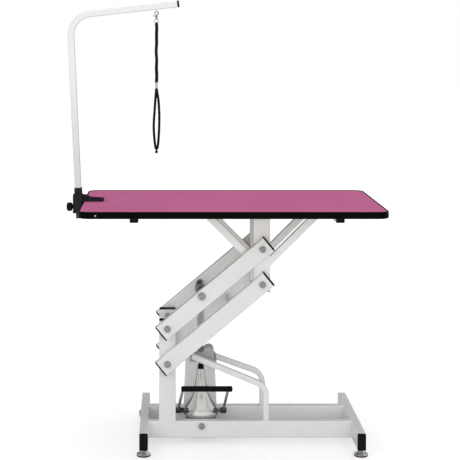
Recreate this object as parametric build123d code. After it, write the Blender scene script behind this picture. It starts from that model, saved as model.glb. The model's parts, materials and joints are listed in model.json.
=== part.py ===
from build123d import *
import math
import os

# Z-lift hydraulic grooming table with a clamp-on grooming arm and noose.
# Millimetres, +X to the right along the tabletop, +Y to the back, +Z up from the floor.
# X and Y are measured from the tabletop centre; on export ORIGIN_X moves the model so
# that the origin is the centre of its footprint.

ORIGIN_X = 31.0
SIDES = (-1, 1)            # front, rear

# ---------------------------------------------------------------- driving dimensions
TOP_L = 1080.0             # tabletop length over the rubber edge
TOP_W = 610.0              # tabletop width over the rubber edge
TOP_Z = 865.1              # working surface height
TOP_R = 40.0               # tabletop corner radius
TRIM_T = 6.0               # rubber edge thickness
BOARD_T = 20.0
SHEET_T = 2.5              # surface sheet thickness
BOARD_Z = TOP_Z - SHEET_T - BOARD_T

TUBE_W = 60.0              # wide side of the main rectangular tube
TUBE_T = 30.0              # narrow side of the main rectangular tube
HALF_W = TUBE_W / 2
HALF_T = TUBE_T / 2
TUBE_R = 3.0               # outer corner radius
WALL = 2.0                 # tube wall
CAP_T = 3.0                # visible thickness of a plastic end cap
CAP_IN = 12.0              # plug length of a plastic end cap

BEAM_X = (-313.0, 450.0)   # centres of the two foot beams
BEAM_HALF = 245.0          # half length of a foot beam, over its end caps
FOOT_Y = 222.0             # levelling feet
BEAM_Z0 = 24.0             # underside of the base frame
BASE_Z = BEAM_Z0 + TUBE_W  # top of the base frame
BEAM_MID_Z = (BEAM_Z0 + BASE_Z) / 2
RAIL_Y = 91.5              # centre of the front and rear rails, posts and columns
POST_OUT = RAIL_Y + HALF_T
POST_INN = RAIL_Y - HALF_T

POST_X = -229.5            # centre of the base posts
POST_TOP = 449.0           # top of the base posts over the caps
ARM_Y = 123.0              # centre of the lifting arms
ARM_OUT = ARM_Y + HALF_T
ARM_INN = ARM_Y - HALF_T
ARM_L = 445.0              # pivot spacing along a lifting arm
ARM_END = 30.0             # arm length past each pivot
ARM_ANGLE = 39.9           # arm angle above level, degrees
ARM_COS = math.cos(math.radians(ARM_ANGLE))
ARM_SIN = math.sin(math.radians(ARM_ANGLE))
PIVOT_LO = 297.5           # lower base pivot height
PIVOT_UP = 424.0           # upper base pivot height
BASE_PIVOTS = [(POST_X, PIVOT_LO), (POST_X, PIVOT_UP)]
COL_X = POST_X + ARM_L * ARM_COS
COL_PIVOTS = [(COL_X, z + ARM_L * ARM_SIN) for _, z in BASE_PIVOTS]
COL_BOT = 551.0            # bottom of the table columns over the caps
ARM_TIE = 300.0            # tie tube distance from the lower base pivot, along the arm

RUN = 0.05                 # running clearance on a radius
GAP = 0.3                  # side clearance under washers and beside the ram head
SPACER_GAP = 0.1           # end clearance of a spacer
BOLT_R = 6.0               # pivot bolt radius
BOLT_HOLE_R = BOLT_R + RUN
BOLT_AF = 19.0             # bolt head and nut, across flats
WASHER_T = 2.0
HEAD_T = 7.0
NUT_T = 9.0

SUB_H = 25.0               # height of the subframe tubes
SUB_Z = BOARD_Z - SUB_H    # underside of the subframe
SUB_X = (-347.0, 378.0)    # centres of the two cross tubes
SUB_HALF = 225.0           # half length of a cross tube, over its end caps
SUB_R = 2.5                # corner radius of the subframe tubes
BRACE = 25.0               # brace tube size
BRACE_COL_Z = 660.0        # where a brace meets the column
BRACE_WALL = 2.8           # brace wall measured vertically

PIN_ARM = 170.0            # ram pin distance from the upper base pivot, along the arm
PIN_OFF = 11.0             # ram pin offset above the arm centre line
PIN_R = 8.0                # radius of the ram pin and of the ram rod
PIN_HOLE_R = PIN_R + RUN
PIN_X = POST_X + PIN_ARM * ARM_COS - PIN_OFF * ARM_SIN
PIN_Z = PIVOT_UP + PIN_ARM * ARM_SIN + PIN_OFF * ARM_COS
TRUN_Z = 66.0              # pump trunnion height


# ------------------------------------------------------------------- helpers
def block(x0, x1, y0, y1, z0, z1):
    centre = Pos((x0 + x1) / 2, (y0 + y1) / 2, (z0 + z1) / 2)
    return centre * Box(x1 - x0, abs(y1 - y0), z1 - z0)


def rod_x(y, z, x0, x1, r):
    return Pos((x0 + x1) / 2, y, z) * Rot(0, 90, 0) * Cylinder(r, abs(x1 - x0))


def rod_y(x, z, y0, y1, r):
    return Pos(x, (y0 + y1) / 2, z) * Rot(90, 0, 0) * Cylinder(r, abs(y1 - y0))


def rod_z(x, y, z0, z1, r):
    return Pos(x, y, (z0 + z1) / 2) * Cylinder(r, abs(z1 - z0))


def rod_between(start, end, r):
    start, end = Vector(*start), Vector(*end)
    span = end - start
    return extrude(Plane(origin=start, z_dir=span.normalized()) * Circle(r), amount=span.length)


def ring_y(x, z, y0, y1, r, bore_r):
    low, high = sorted((y0, y1))
    return rod_y(x, z, low, high, r) - rod_y(x, z, low - 1, high + 1, bore_r)


def face_xz(points, y=0):
    return make_face(Polyline([(x, y, z) for x, z in points], close=True))


def plate_xz(points, y0, y1):
    """Flat profile in the XZ plane, from y0 to y1."""
    return extrude(face_xz(points, y0), amount=abs(y1 - y0), dir=(0, 1 if y1 > y0 else -1, 0))


def hex_y(x, z, y0, y1, across_flats):
    r = across_flats / math.sqrt(3)
    angles = [math.radians(60 * i) for i in range(6)]
    return plate_xz([(x + r * math.cos(a), z + r * math.sin(a)) for a in angles], y0, y1)


def round_along(solid, axis, radius):
    return fillet(solid.edges().filter_by(axis), radius)


def round_right_corners(solid, radius):
    """Round the vertical edges at the +X end."""
    return fillet(solid.edges().filter_by(Axis.Z).group_by(Axis.X)[-1], radius)


def tube(lx, ly, lz, axis, radius=TUBE_R):
    """Rectangular tube centred on the origin, hollow along axis "x", "y" or "z"."""
    outer = round_along(Box(lx, ly, lz), {"x": Axis.X, "y": Axis.Y, "z": Axis.Z}[axis], radius)
    sizes = {"x": lx, "y": ly, "z": lz}
    bore = [size + 2 if name == axis else size - 2 * WALL for name, size in sizes.items()]
    return outer - Box(*bore)


def tube_at(x0, x1, y0, y1, z0, z1, axis, radius=TUBE_R):
    centre = Pos((x0 + x1) / 2, (y0 + y1) / 2, (z0 + z1) / 2)
    return centre * tube(x1 - x0, y1 - y0, z1 - z0, axis, radius)


def cap(a, b, radius=TUBE_R):
    """Plastic end cap: head on Z 0..CAP_T, plug below it, for a tube of a x b."""
    plug_gap = 0.6
    head = Pos(0, 0, CAP_T / 2) * Box(a, b, CAP_T)
    head = round_along(head, Axis.Z, radius)
    head = fillet(head.faces().sort_by(Axis.Z)[-1].edges(), 1.0)
    plug = Box(a - 2 * WALL - plug_gap, b - 2 * WALL - plug_gap, CAP_IN)
    return head + Pos(0, 0, -CAP_IN / 2) * plug


def group(shapes):
    return Compound([solid for shape in shapes for solid in shape.solids()])


def largest(shape):
    return max(shape.solids(), key=lambda solid: solid.volume)


def side_tubes(x0, x1, z0, z1, axis, holes=(), radius=TUBE_R):
    """Front and rear tubes on the rail lines, bored along Y at each (x, z) of holes."""
    tubes = []
    for side in SIDES:
        y0, y1 = side * RAIL_Y - HALF_T, side * RAIL_Y + HALF_T
        solid = tube_at(x0, x1, y0, y1, z0, z1, axis, radius)
        for x, z in holes:
            solid -= rod_y(x, z, y0 - 1, y1 + 1, BOLT_HOLE_R)
        tubes.append(solid)
    return group(tubes)


def side_caps(x, z, turn=0):
    """Caps on the ends of the front and rear upright tubes; turn=180 faces them down."""
    return group([Pos(x, side * RAIL_Y, z) * Rot(turn, 0, 0) * cap(TUBE_W, TUBE_T)
                  for side in SIDES])


def cross_caps(stations, half_length, z, height, radius=TUBE_R):
    """Caps on both ends of tubes that run along Y at the given X stations."""
    return group([
        Pos(x, side * (half_length - CAP_T), z) * Rot(-90 * side, 0, 0)
        * cap(TUBE_T, height, radius)
        for x in stations for side in SIDES])


# --------------------------------------------------------------- base frame
def base_beams():
    beams = []
    for x in BEAM_X:
        beam = tube_at(x - HALF_T, x + HALF_T, -BEAM_HALF + CAP_T, BEAM_HALF - CAP_T,
                       BEAM_Z0, BASE_Z, "y")
        for side in SIDES:
            beam -= rod_z(x, side * FOOT_Y, BEAM_Z0 - 1, BEAM_Z0 + 3, 5.3)
        beams.append(beam)
    return group(beams)


def frame_bolt():
    """Washer and round head on the left beam, in line with the rear rail."""
    face_x = BEAM_X[0] - HALF_T
    washer = rod_x(RAIL_Y, BEAM_MID_Z, face_x, face_x - 2, 12)
    return washer + rod_x(RAIL_Y, BEAM_MID_Z, face_x - 2, face_x - 8, 7.5)


def pivot_bolts(pivots):
    """Bolts along Y with the head outside the arms and the nut inside the posts or columns."""
    bolts = []
    for side in SIDES:
        start = side * (ARM_OUT + GAP)
        under_head = start + side * WASHER_T
        end = side * (POST_INN - GAP)
        nut_face = end - side * NUT_T
        for x, z in pivots:
            bolt = rod_y(x, z, under_head, end - side * 4, BOLT_R)
            bolt = (
                bolt
                + rod_y(x, z, start, under_head, BOLT_R * 2.1)
                + hex_y(x, z, under_head, under_head + side * HEAD_T, BOLT_AF)
                + hex_y(x, z, end, nut_face, BOLT_AF)
                + rod_y(x, z, nut_face, nut_face - side * 3, BOLT_R)
            )
            bolts.append(bolt.solid())
    return group(bolts)


def pivot_spacers(pivots):
    return group([
        ring_y(x, z, side * (POST_OUT + SPACER_GAP), side * (ARM_INN - SPACER_GAP),
               15, BOLT_HOLE_R)
        for side in SIDES for x, z in pivots])


def pump_trunnion_bolts():
    """Bolts through the rails that carry the pump foot."""
    bolts = []
    for side in SIDES:
        under_head = side * (POST_OUT + WASHER_T)
        bolt = rod_y(PIN_X, TRUN_Z, side * 46, under_head, BOLT_R)
        bolt += rod_y(PIN_X, TRUN_Z, side * POST_OUT, under_head, 12)
        bolt += hex_y(PIN_X, TRUN_Z, under_head, under_head + side * HEAD_T, BOLT_AF)
        bolts.append(bolt)
    return group(bolts)


# half section of the levelling foot stud and plate: radius, z
FOOT_PROFILE = [
    (0, 5), (24, 5), (25, 6.5), (24, 9), (15, 12.5),
    (9, 16), (9, 21), (5.2, 21), (5.2, 52), (0, 52),
]


def foot(x, y):
    """Levelling foot: stud with a dished plate, rubber pad under it."""
    pad_h = FOOT_PROFILE[0][1]
    stud = Pos(x, y, 0) * revolve(face_xz(FOOT_PROFILE), Axis.Z)
    pad = Pos(x, y, pad_h / 2) * Cylinder(24.5, pad_h)
    pad = fillet(pad.edges().filter_by(GeomType.CIRCLE).sort_by(Axis.Z)[0:1], 1.5)
    return group([stud, pad])


# --------------------------------------------------------------- pump guard
GUARD = 20.0               # guard bar tube size
GUARD_R = 3.5              # corner radius of a bar
GUARD_Y = 86.5             # centre of the guard bar legs
GUARD_YAW = 5.67           # degrees the guard bars close in towards the ram
GUARD_SLOPE = math.radians(20.8)
GUARD_TOP_X = -139.0       # centre of a bar at its upper end
GUARD_TOP_Z = 306.5
GUARD_LEG_X = 128.0        # centre of the right legs
GUARD_BEND = 52.0          # bend radius on the centre line

GUIDE_Z0 = 287.0           # ram guide plate
GUIDE_Z1 = 291.0
CHEEK_Y0 = 19.0            # inner face of a guide cheek
CHEEK_Y1 = 25.0            # outer face of a guide cheek
LUG_X = -77.0              # centre of the rounded lug
LUG_Z = 313.0
LUG_R = 19.0

TOWER_X = -107.0           # centre of the folded sheet tower
TOWER_WEB_Y = 73.0         # front face of the web
TOWER_EDGE_Y = 63.2        # front edge of the angled flanges
TOWER_T = 3.5              # sheet thickness along Y


def guard_z(x):
    """Height of the sloping centre line of a guard bar."""
    return GUARD_TOP_Z - (x - GUARD_TOP_X) * math.tan(GUARD_SLOPE)


def guard_place(side):
    """Set a bar drawn on Y = 0 in place, turned about its right leg."""
    turn = Rot(0, 0, side * GUARD_YAW)
    return Pos(GUARD_LEG_X, side * GUARD_Y, 0) * turn * Pos(-GUARD_LEG_X, 0, 0)


def guard_shapes():
    """Solid outline and bore of one bent bar, on Y = 0."""
    corner_z = guard_z(GUARD_LEG_X)
    setback = GUARD_BEND * math.tan((math.pi / 2 - GUARD_SLOPE) / 2)
    top = Vector(GUARD_TOP_X, 0, GUARD_TOP_Z)
    bend_start = Vector(GUARD_LEG_X - setback * math.cos(GUARD_SLOPE), 0,
                        corner_z + setback * math.sin(GUARD_SLOPE))
    bend_end = Vector(GUARD_LEG_X, 0, corner_z - setback)
    path = Wire([
        Line(top, bend_start),
        TangentArc(bend_start, bend_end, tangent=(bend_start - top)),
        Line(bend_end, Vector(GUARD_LEG_X, 0, BASE_Z)),
    ])
    plane = Plane(origin=top, x_dir=(0, 1, 0), z_dir=(bend_start - top).normalized())
    outline = sweep(plane * RectangleRounded(GUARD, GUARD, GUARD_R), path=path)
    # solid stub that closes the upper end
    outline += extrude(plane * RectangleRounded(GUARD, GUARD, GUARD_R), amount=-2.0)
    bore = sweep(plane * Rectangle(GUARD - 2 * WALL, GUARD - 2 * WALL), path=path)
    return outline, bore


def guard_bars():
    outline, bore = guard_shapes()
    return group([(guard_place(side) * (outline - bore)).solid() for side in SIDES])


def ram_guide():
    """Slotted plate between the guard bars, with two lugged cheeks for the ram."""
    outline, _ = guard_shapes()
    guide = block(-147, -50, -66, 66, GUIDE_Z0, GUIDE_Z1) - block(-132, -56, -17, 17, 280, 300)
    for side in SIDES:
        guide -= guard_place(side) * outline
    guide = largest(guide)
    for side in SIDES:
        y0, y1 = side * CHEEK_Y0, side * CHEEK_Y1
        cheek = block(-124, LUG_X + LUG_R, y0, y1, GUIDE_Z1, LUG_Z)
        cheek += rod_y(LUG_X, LUG_Z, y0, y1, LUG_R)
        cheek += block(-120, LUG_X, y0, y1, LUG_Z, 324)
        guide += cheek
    return guide


def ram_guide_bolts():
    x, z = -106, 322
    bolts = []
    for side in SIDES:
        bolt = rod_y(x, z, side * CHEEK_Y1, side * (CHEEK_Y1 + 3), 10)
        bolt += hex_y(x, z, side * (CHEEK_Y1 + 3), side * (CHEEK_Y1 + 12), 15)
        bolt += rod_y(x, z, side * (CHEEK_Y1 + 12), side * (CHEEK_Y1 + 15), 4)
        bolts.append(bolt)
    return group(bolts)


def tower_section(z, web, out):
    """Folded sheet: flat web of half width web, flanges angled forward to half width out."""
    front = [(-out, TOWER_EDGE_Y), (-web, TOWER_WEB_Y), (web, TOWER_WEB_Y), (out, TOWER_EDGE_Y)]
    back = [(out + 1.2, TOWER_EDGE_Y + TOWER_T), (web + 0.6, TOWER_WEB_Y + TOWER_T),
            (-web - 0.6, TOWER_WEB_Y + TOWER_T), (-out - 1.2, TOWER_EDGE_Y + TOWER_T)]
    return make_face(Polyline([(TOWER_X + x, y, z) for x, y in front + back], close=True))


def pump_tower():
    """Folded sheet tower behind the pump, wider at the foot, cut off under the guard bar."""
    tower = loft([tower_section(BASE_Z, 36, 61), tower_section(GUIDE_Z0, 28, 53)], ruled=True)
    tower += block(TOWER_X - 63, TOWER_X + 63, TOWER_EDGE_Y, TOWER_WEB_Y + TOWER_T,
                   BASE_Z - 4, BASE_Z)
    left = GUARD_TOP_X - 60
    high = GUARD_TOP_Z + 40
    drop = (GUARD / 2 + 0.2) / math.cos(GUARD_SLOPE)
    above = plate_xz([(left, high), (left, guard_z(left) - drop),
                      (GUARD_LEG_X, guard_z(GUARD_LEG_X) - drop), (GUARD_LEG_X, high)], -12, 12)
    return largest(tower - guard_place(1) * above)


# --------------------------------------------------------------- lifting arms
def arm_place(side, pivot_z):
    return Pos(POST_X, side * ARM_Y, pivot_z) * Rot(0, -ARM_ANGLE, 0)


def lifting_arm(side, pivot_z):
    length = ARM_L + 2 * ARM_END - 2 * CAP_T
    arm = Pos(ARM_L / 2, 0, 0) * tube(length, TUBE_T, TUBE_W, "x")
    for x in (0, ARM_L):
        arm -= rod_y(x, 0, -HALF_T - 1, HALF_T + 1, BOLT_HOLE_R)
    if pivot_z == PIVOT_UP:
        arm -= rod_y(PIN_ARM, PIN_OFF, -HALF_T - 1, HALF_T + 1, PIN_HOLE_R)
    return arm_place(side, pivot_z) * arm


def arm_caps(pivot_z):
    caps = []
    for side in SIDES:
        for x, turn in ((ARM_L + ARM_END - CAP_T, 90), (-ARM_END + CAP_T, -90)):
            end = arm_place(side, pivot_z) * Pos(x, 0, 0) * Rot(0, turn, 0)
            caps.append(end * cap(TUBE_W, TUBE_T))
    return group(caps)


def lower_arm_tie():
    """Cross tube between the lower arms."""
    x = POST_X + ARM_TIE * ARM_COS
    z = PIVOT_LO + ARM_TIE * ARM_SIN
    return ring_y(x, z, -ARM_INN, ARM_INN, 12.5, 10.5)


def ram_pin():
    """Pin across the upper arms, head at the front and nut at the rear."""
    pin = rod_y(PIN_X, PIN_Z, -ARM_OUT - 2, ARM_OUT + 12, PIN_R)
    for side, hex_t in zip(SIDES, (HEAD_T, NUT_T)):
        washer_face = ARM_OUT + WASHER_T
        pin += rod_y(PIN_X, PIN_Z, side * (ARM_OUT + GAP), side * washer_face, 15)
        pin += hex_y(PIN_X, PIN_Z, side * washer_face, side * (washer_face + hex_t), 22)
    return pin


def ram_pin_spacers():
    return group([
        ring_y(PIN_X, PIN_Z, side * (RAM_HEAD_HALF + GAP), side * (ARM_INN - SPACER_GAP),
               13, PIN_HOLE_R)
        for side in SIDES])


# --------------------------------------------------------- braces and subframe
def brace(side, lean):
    """Tube at 45 degrees from a column up to the subframe; lean -1 left, 1 right."""
    column_face = COL_X + lean * HALF_W
    rise = SUB_Z - BRACE_COL_Z

    def profile(half, over):
        """Half height measured vertically; over extends both ends."""
        return [
            (column_face - lean * over, BRACE_COL_Z - half - over),
            (column_face - lean * over, BRACE_COL_Z + half - over),
            (column_face + lean * (rise - half + over), SUB_Z + over),
            (column_face + lean * (rise + half + over), SUB_Z + over),
        ]

    half = BRACE * math.sqrt(2) / 2
    y0, y1 = side * RAIL_Y - BRACE / 2, side * RAIL_Y + BRACE / 2
    outer = plate_xz(profile(half, 0), y0, y1)
    return outer - plate_xz(profile(half - BRACE_WALL, 1), y0 + WALL, y1 - WALL)


def subframe_cross_tubes():
    return group([
        tube_at(x - HALF_T, x + HALF_T, -SUB_HALF + CAP_T, SUB_HALF - CAP_T,
                SUB_Z, BOARD_Z, "y", SUB_R)
        for x in SUB_X])


# ------------------------------------------------------------------ tabletop
EDGE_SCREW_X = -TOP_L / 2 + 62
EDGE_SCREW_Z = TOP_Z - 11


def panel(z, thickness):
    """Flat panel that fills the rubber edge."""
    face = RectangleRounded(TOP_L - 2 * TRIM_T, TOP_W - 2 * TRIM_T, TOP_R - TRIM_T)
    return Pos(0, 0, z) * extrude(face, thickness)


def tabletop_edge():
    """Rubber edge, with a shallow round recess for the screw in the front face."""
    edge = extrude(RectangleRounded(TOP_L, TOP_W, TOP_R), TOP_Z - BOARD_Z)
    faces = edge.faces().sort_by(Axis.Z)
    edge = fillet(faces[-1].edges() + faces[0].edges(), 4.0)
    edge -= panel(-1, 40)
    recess = Pos(EDGE_SCREW_X, -TOP_W / 2 + 1, EDGE_SCREW_Z - BOARD_Z) * Rot(90, 0, 0)
    edge -= recess * Cylinder(4.7, 2.2)
    return Pos(0, 0, BOARD_Z) * edge


def edge_screw():
    cone = Cone(4.5, 3.0, 2.0, align=(Align.CENTER, Align.CENTER, Align.MIN))
    return Pos(EDGE_SCREW_X, -TOP_W / 2 + 2.05, EDGE_SCREW_Z) * Rot(90, 0, 0) * cone


# ------------------------------------------------------- pump and hydraulic ram
BOSS_TOP = 116.0
CYLINDER_TOP = 236.0
CYLINDER_R = 9.9
COVER_TOP = 246.0
COVER_T = 1.6              # sheet thickness along the radius
RAM_ROD_TOP = 380.0
RAM_HEAD_HALF = 20.0       # half width of the ram head along Y
SHAFT_Y = -26.0            # pedal shaft
SHAFT_Z = 99.0

# outside of the bell-shaped cover: radius, z
COVER_PROFILE = [
    (62, 79.5), (62, 88), (60.5, 95.5), (57, 104), (50.5, 114), (43, 125), (35.5, 138),
    (29, 153), (24, 170), (19.6, 190), (16.4, 210), (14.0, 229), (12.2, COVER_TOP),
]


def pump_body():
    """Wide foot between the rails, boss for the pedal shaft, cone and cylinder."""
    cone_h = 34
    body = rod_z(PIN_X, 0, 36, BASE_Z, 56)
    body += rod_z(PIN_X, 0, BASE_Z, BOSS_TOP, 44)
    body += rod_z(PIN_X, 0, BOSS_TOP, CYLINDER_TOP, CYLINDER_R)
    body += Pos(PIN_X, 0, BOSS_TOP + cone_h / 2) * Cone(30, CYLINDER_R, cone_h)
    body -= rod_z(PIN_X, 0, 42, CYLINDER_TOP + 4, PIN_HOLE_R)
    for side in SIDES:
        body -= rod_y(PIN_X, TRUN_Z, side * 30, side * 60, 14.5)
    body -= rod_x(SHAFT_Y, SHAFT_Z, PIN_X - 60, PIN_X + 60, BOLT_HOLE_R)
    return body


def pump_cover():
    """Thin bell, open below, with a hole on each side for the pedal shaft."""
    inside = [(r - COVER_T, z) for r, z in COVER_PROFILE]
    cover = Pos(PIN_X, 0, 0) * revolve(face_xz(COVER_PROFILE + inside[::-1]), Axis.Z)
    for end in (-1, 1):
        cover -= rod_x(SHAFT_Y, SHAFT_Z, PIN_X + end * 20, PIN_X + end * 75, 9.0)
    return cover


def pump_gland():
    upper = rod_z(PIN_X, 0, COVER_TOP, 264, 11.0) - rod_z(PIN_X, 0, 240, 270, PIN_HOLE_R)
    lower = rod_z(PIN_X, 0, 237, COVER_TOP, 10.3) - rod_z(PIN_X, 0, 230, 250, PIN_HOLE_R)
    return upper + lower


def ram_head():
    head = rod_z(PIN_X, 0, RAM_ROD_TOP, PIN_Z - 18, 13.5)
    head += rod_y(PIN_X, PIN_Z, -RAM_HEAD_HALF, RAM_HEAD_HALF, 22)
    head -= rod_y(PIN_X, PIN_Z, -RAM_HEAD_HALF - 1, RAM_HEAD_HALF + 1, PIN_HOLE_R)
    return head


# --------------------------------------------------------------------- pedal
PEDAL_Y = -190.0           # pedal bar
PEDAL_Z = 225.0
HUB_X = (-190.0, -24.0)    # left and right hubs on the shaft
ROD_END_X = (-174.0, -14.0)  # where the left and right side rods meet the bar
BAR_X = (ROD_END_X[0] - 5, ROD_END_X[1] + 13)  # ends of the bar
ROD_R = 5.0                # side rods and bar
ROD_START = 11.4           # distance of the side rods from the shaft centre


def side_rod(hub_x, end_x, r):
    share = ROD_START / math.hypot(PEDAL_Y - SHAFT_Y, PEDAL_Z - SHAFT_Z)
    start = (hub_x, SHAFT_Y + (PEDAL_Y - SHAFT_Y) * share, SHAFT_Z + (PEDAL_Z - SHAFT_Z) * share)
    return rod_between(start, (end_x, PEDAL_Y, PEDAL_Z), r)


def pedal_hubs():
    return group([
        rod_x(SHAFT_Y, SHAFT_Z, x - 10, x + 10, 10.5)
        - rod_x(SHAFT_Y, SHAFT_Z, x - 14, x + 14, BOLT_HOLE_R)
        for x in HUB_X])


def pedal_bail():
    """Two side rods with ball corners, joined by the bar."""
    left, right = [
        side_rod(hub_x, end_x, ROD_R) + Pos(end_x, PEDAL_Y, PEDAL_Z) * Sphere(ROD_R)
        for hub_x, end_x in zip(HUB_X, ROD_END_X)]
    bar = rod_between((BAR_X[0], PEDAL_Y, PEDAL_Z), (BAR_X[1], PEDAL_Y, PEDAL_Z), ROD_R)
    return left + right + bar


def pedal_sleeve():
    sleeve = rod_x(PEDAL_Y, PEDAL_Z, BAR_X[0] - 2, BAR_X[1] + 2, 10.0)
    sleeve = fillet(sleeve.edges().filter_by(GeomType.CIRCLE), 4.0)
    sleeve -= rod_x(PEDAL_Y, PEDAL_Z, BAR_X[0] - 0.1, BAR_X[1] + 0.1, ROD_R + RUN)
    for hub_x, end_x in zip(HUB_X, ROD_END_X):
        sleeve -= side_rod(hub_x, end_x, ROD_R + RUN)
    return sleeve.solid()


# ------------------------------------------------------ clamp and grooming arm
POLE = 24.0                # grooming arm tube size
POLE_R = 3.5               # corner radius of the tube
POLE_WALL = 1.8
POLE_X = -557.0            # pole centre at height POLE_Z0
POLE_Z0 = 856.0
POLE_LEAN = 0.0473         # lean of the pole away from the table
POLE_BOTTOM = 802.0
TIP_X = -190.0             # grooming arm tip centre
TIP_Z = 1593.5
RISE = 0.112               # rise of the grooming arm towards the tip
POLE_BEND = 78.0           # bend radius on the centre line

CLAMP_X0 = -578.0          # left face of the clamp
CLAMP_X1 = -541.2          # face next to the tabletop edge
CLAMP_Z0 = 822.0
CLAMP_Z1 = 889.0
SCREW_X = -508.0           # vertical clamp screw
SCREW_R = 5.0
KNOB_Z = 844.0
KNOB_X = (-602.0, -584.0)  # outer and inner ends of the knob grip
KNOB_SCREW_R = 4.8


def pole_at(z):
    """Centre of the pole at height z."""
    return Vector(POLE_X - (z - POLE_Z0) * POLE_LEAN, 0, z)


def arm_z(x):
    """Centre height of the sloping grooming arm."""
    return TIP_Z + (x - TIP_X) * RISE


POLE_DIR = Vector(-POLE_LEAN, 0, 1).normalized()
TIP_DIR = Vector(1, 0, RISE).normalized()


def clamp_body():
    body = round_along(block(CLAMP_X0, CLAMP_X1, -23, 23, CLAMP_Z0, CLAMP_Z1), Axis.Z, 5)
    jaw = round_right_corners(block(CLAMP_X1 - 6, -464, -25, 25, TOP_Z + 0.1, TOP_Z + 10), 8)
    ridge = plate_xz([(-545, TOP_Z + 8), (-545, CLAMP_Z1), (-530, CLAMP_Z1),
                      (-512, TOP_Z + 15), (-470, TOP_Z + 12), (-470, TOP_Z + 8)], -8, 8)
    lower_jaw = round_right_corners(block(-548, -486, -20, 20, CLAMP_Z0, CLAMP_Z0 + 10), 8)
    body = body + jaw + ridge + lower_jaw
    lean = math.degrees(math.atan(POLE_LEAN))
    body -= Pos(pole_at(860)) * Rot(0, -lean, 0) * Box(POLE + 0.2, POLE + 0.2, 160)
    body -= rod_x(0, KNOB_Z, -590, pole_at(KNOB_Z).X - 5, 5 + RUN)
    body -= rod_z(SCREW_X, 0, 810, 841, SCREW_R + RUN)
    return body


def clamp_screw():
    """Screw with a round pad under the board and a round head below."""
    screw = rod_z(SCREW_X, 0, 806, 838, SCREW_R) + rod_z(SCREW_X, 0, 838, BOARD_Z - 0.1, 12)
    screw += rod_z(SCREW_X, 0, 800, 808, 9)
    return screw


def clamp_knob():
    """Six-lobed knob with a neck, bored for its screw."""
    knob = rod_x(0, KNOB_Z, *KNOB_X, 13.5)
    for i in range(6):
        a = math.radians(60 * i)
        knob += rod_x(11.5 * math.cos(a), KNOB_Z + 11.5 * math.sin(a), *KNOB_X, 5.0)
    knob += rod_x(0, KNOB_Z, KNOB_X[1], CLAMP_X0 - 0.2, 8)
    # guards the fillet around the lobed outline: where it fails the edge stays sharp
    try:
        knob = fillet(knob.faces().sort_by(Axis.X)[0].edges(), 1.2)
    except Exception:
        pass
    return knob - rod_x(0, KNOB_Z, -596, -570, KNOB_SCREW_R)


def pole_collar():
    """Collar around the pole on top of the clamp, its foot cut level."""
    plane = Plane(origin=pole_at(889.6), x_dir=(0, 1, 0), z_dir=POLE_DIR)
    collar = extrude(plane * RectangleRounded(POLE + 4, POLE + 4, 4.5), amount=25.0)
    collar -= extrude(plane * RectangleRounded(POLE + 0.1, POLE + 0.1, POLE_R), amount=25.0)
    return collar & block(-620, -500, -40, 40, 889.2, 930)


def arm_end():
    """End of the grooming arm tube, under its cap."""
    return Vector(TIP_X - CAP_T, 0, arm_z(TIP_X - CAP_T))


def grooming_arm():
    """One bent square tube, with a wire eye under its sloping part."""
    corner_x = (POLE_X - (arm_z(0) - POLE_Z0) * POLE_LEAN) / (1 + POLE_LEAN * RISE)
    corner = Vector(corner_x, 0, arm_z(corner_x))
    setback = POLE_BEND * math.tan(math.acos(POLE_DIR.dot(TIP_DIR)) / 2)
    bottom = pole_at(POLE_BOTTOM)
    bend_start = corner - POLE_DIR * setback
    bend_end = corner + TIP_DIR * setback
    path = Wire([
        Line(bottom, bend_start),
        TangentArc(bend_start, bend_end, tangent=POLE_DIR),
        Line(bend_end, arm_end()),
    ])
    plane = Plane(origin=bottom, x_dir=(0, 1, 0), z_dir=POLE_DIR)
    outer = sweep(plane * RectangleRounded(POLE, POLE, POLE_R), path=path)
    inner = sweep(plane * Rectangle(POLE - 2 * POLE_WALL, POLE - 2 * POLE_WALL), path=path)
    eye = Pos(EYE_X, 0, EYE_Z) * Rot(0, 90, 0) * Torus(EYE_R, 1.6)
    # the part of the eye inside the tube wall is cut away
    above = block(EYE_X - 10, EYE_X + 10, -8, 8, UNDER_ARM_Z + 0.9, UNDER_ARM_Z + 10)
    return (outer - inner) + (eye - above)


def grooming_arm_cap():
    plane = Plane(origin=arm_end(), x_dir=(0, 1, 0), z_dir=TIP_DIR)
    end_cap = extrude(plane * RectangleRounded(POLE, POLE, POLE_R), amount=CAP_T)
    end_cap += extrude(plane * Rectangle(POLE - 4.4, POLE - 4.4), amount=-10.0)
    return end_cap


# --------------------------------------------------------------------- noose
EYE_X = -270.0             # where the noose hangs
EYE_R = 5.2
UNDER_ARM_Z = arm_z(EYE_X) - POLE / 2 / math.cos(math.atan(RISE))
EYE_Z = UNDER_ARM_Z - 4.6
HANG_Z = EYE_Z - EYE_R     # bottom of the eye on its wire centre line
HOOK_BOTTOM = HANG_Z - 27
SNAP_RING_Z = HOOK_BOTTOM - 6.5
WIRE_R = 1.5               # wire of the snap hook and ring
CORD_R = 3.3
LOOP_BOTTOM = 1056.0

# centre lines of the two hanging cords: x from EYE_X, z
RIGHT_CORD = [(0.5, 1279), (8.5, 1225), (10.5, 1160), (6.0, 1085), (0, LOOP_BOTTOM)]
LEFT_CORD = [(0, LOOP_BOTTOM), (-5.5, 1085), (-10.5, 1130), (-6.5, 1210), (-0.5, 1279)]


def snap_hook():
    hook = Pos(EYE_X, 0, HANG_Z - 3.2) * Rot(90, 0, 0) * Torus(6.4, WIRE_R)
    hook += rod_z(EYE_X, 0, HANG_Z - 22, HANG_Z - 10.6, 3.4)
    hook += rod_x(0, HANG_Z - 14, EYE_X - 14, EYE_X, WIRE_R)
    hook += rod_z(EYE_X, 0, HOOK_BOTTOM, HANG_Z - 21, 4.2)
    return hook


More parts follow.
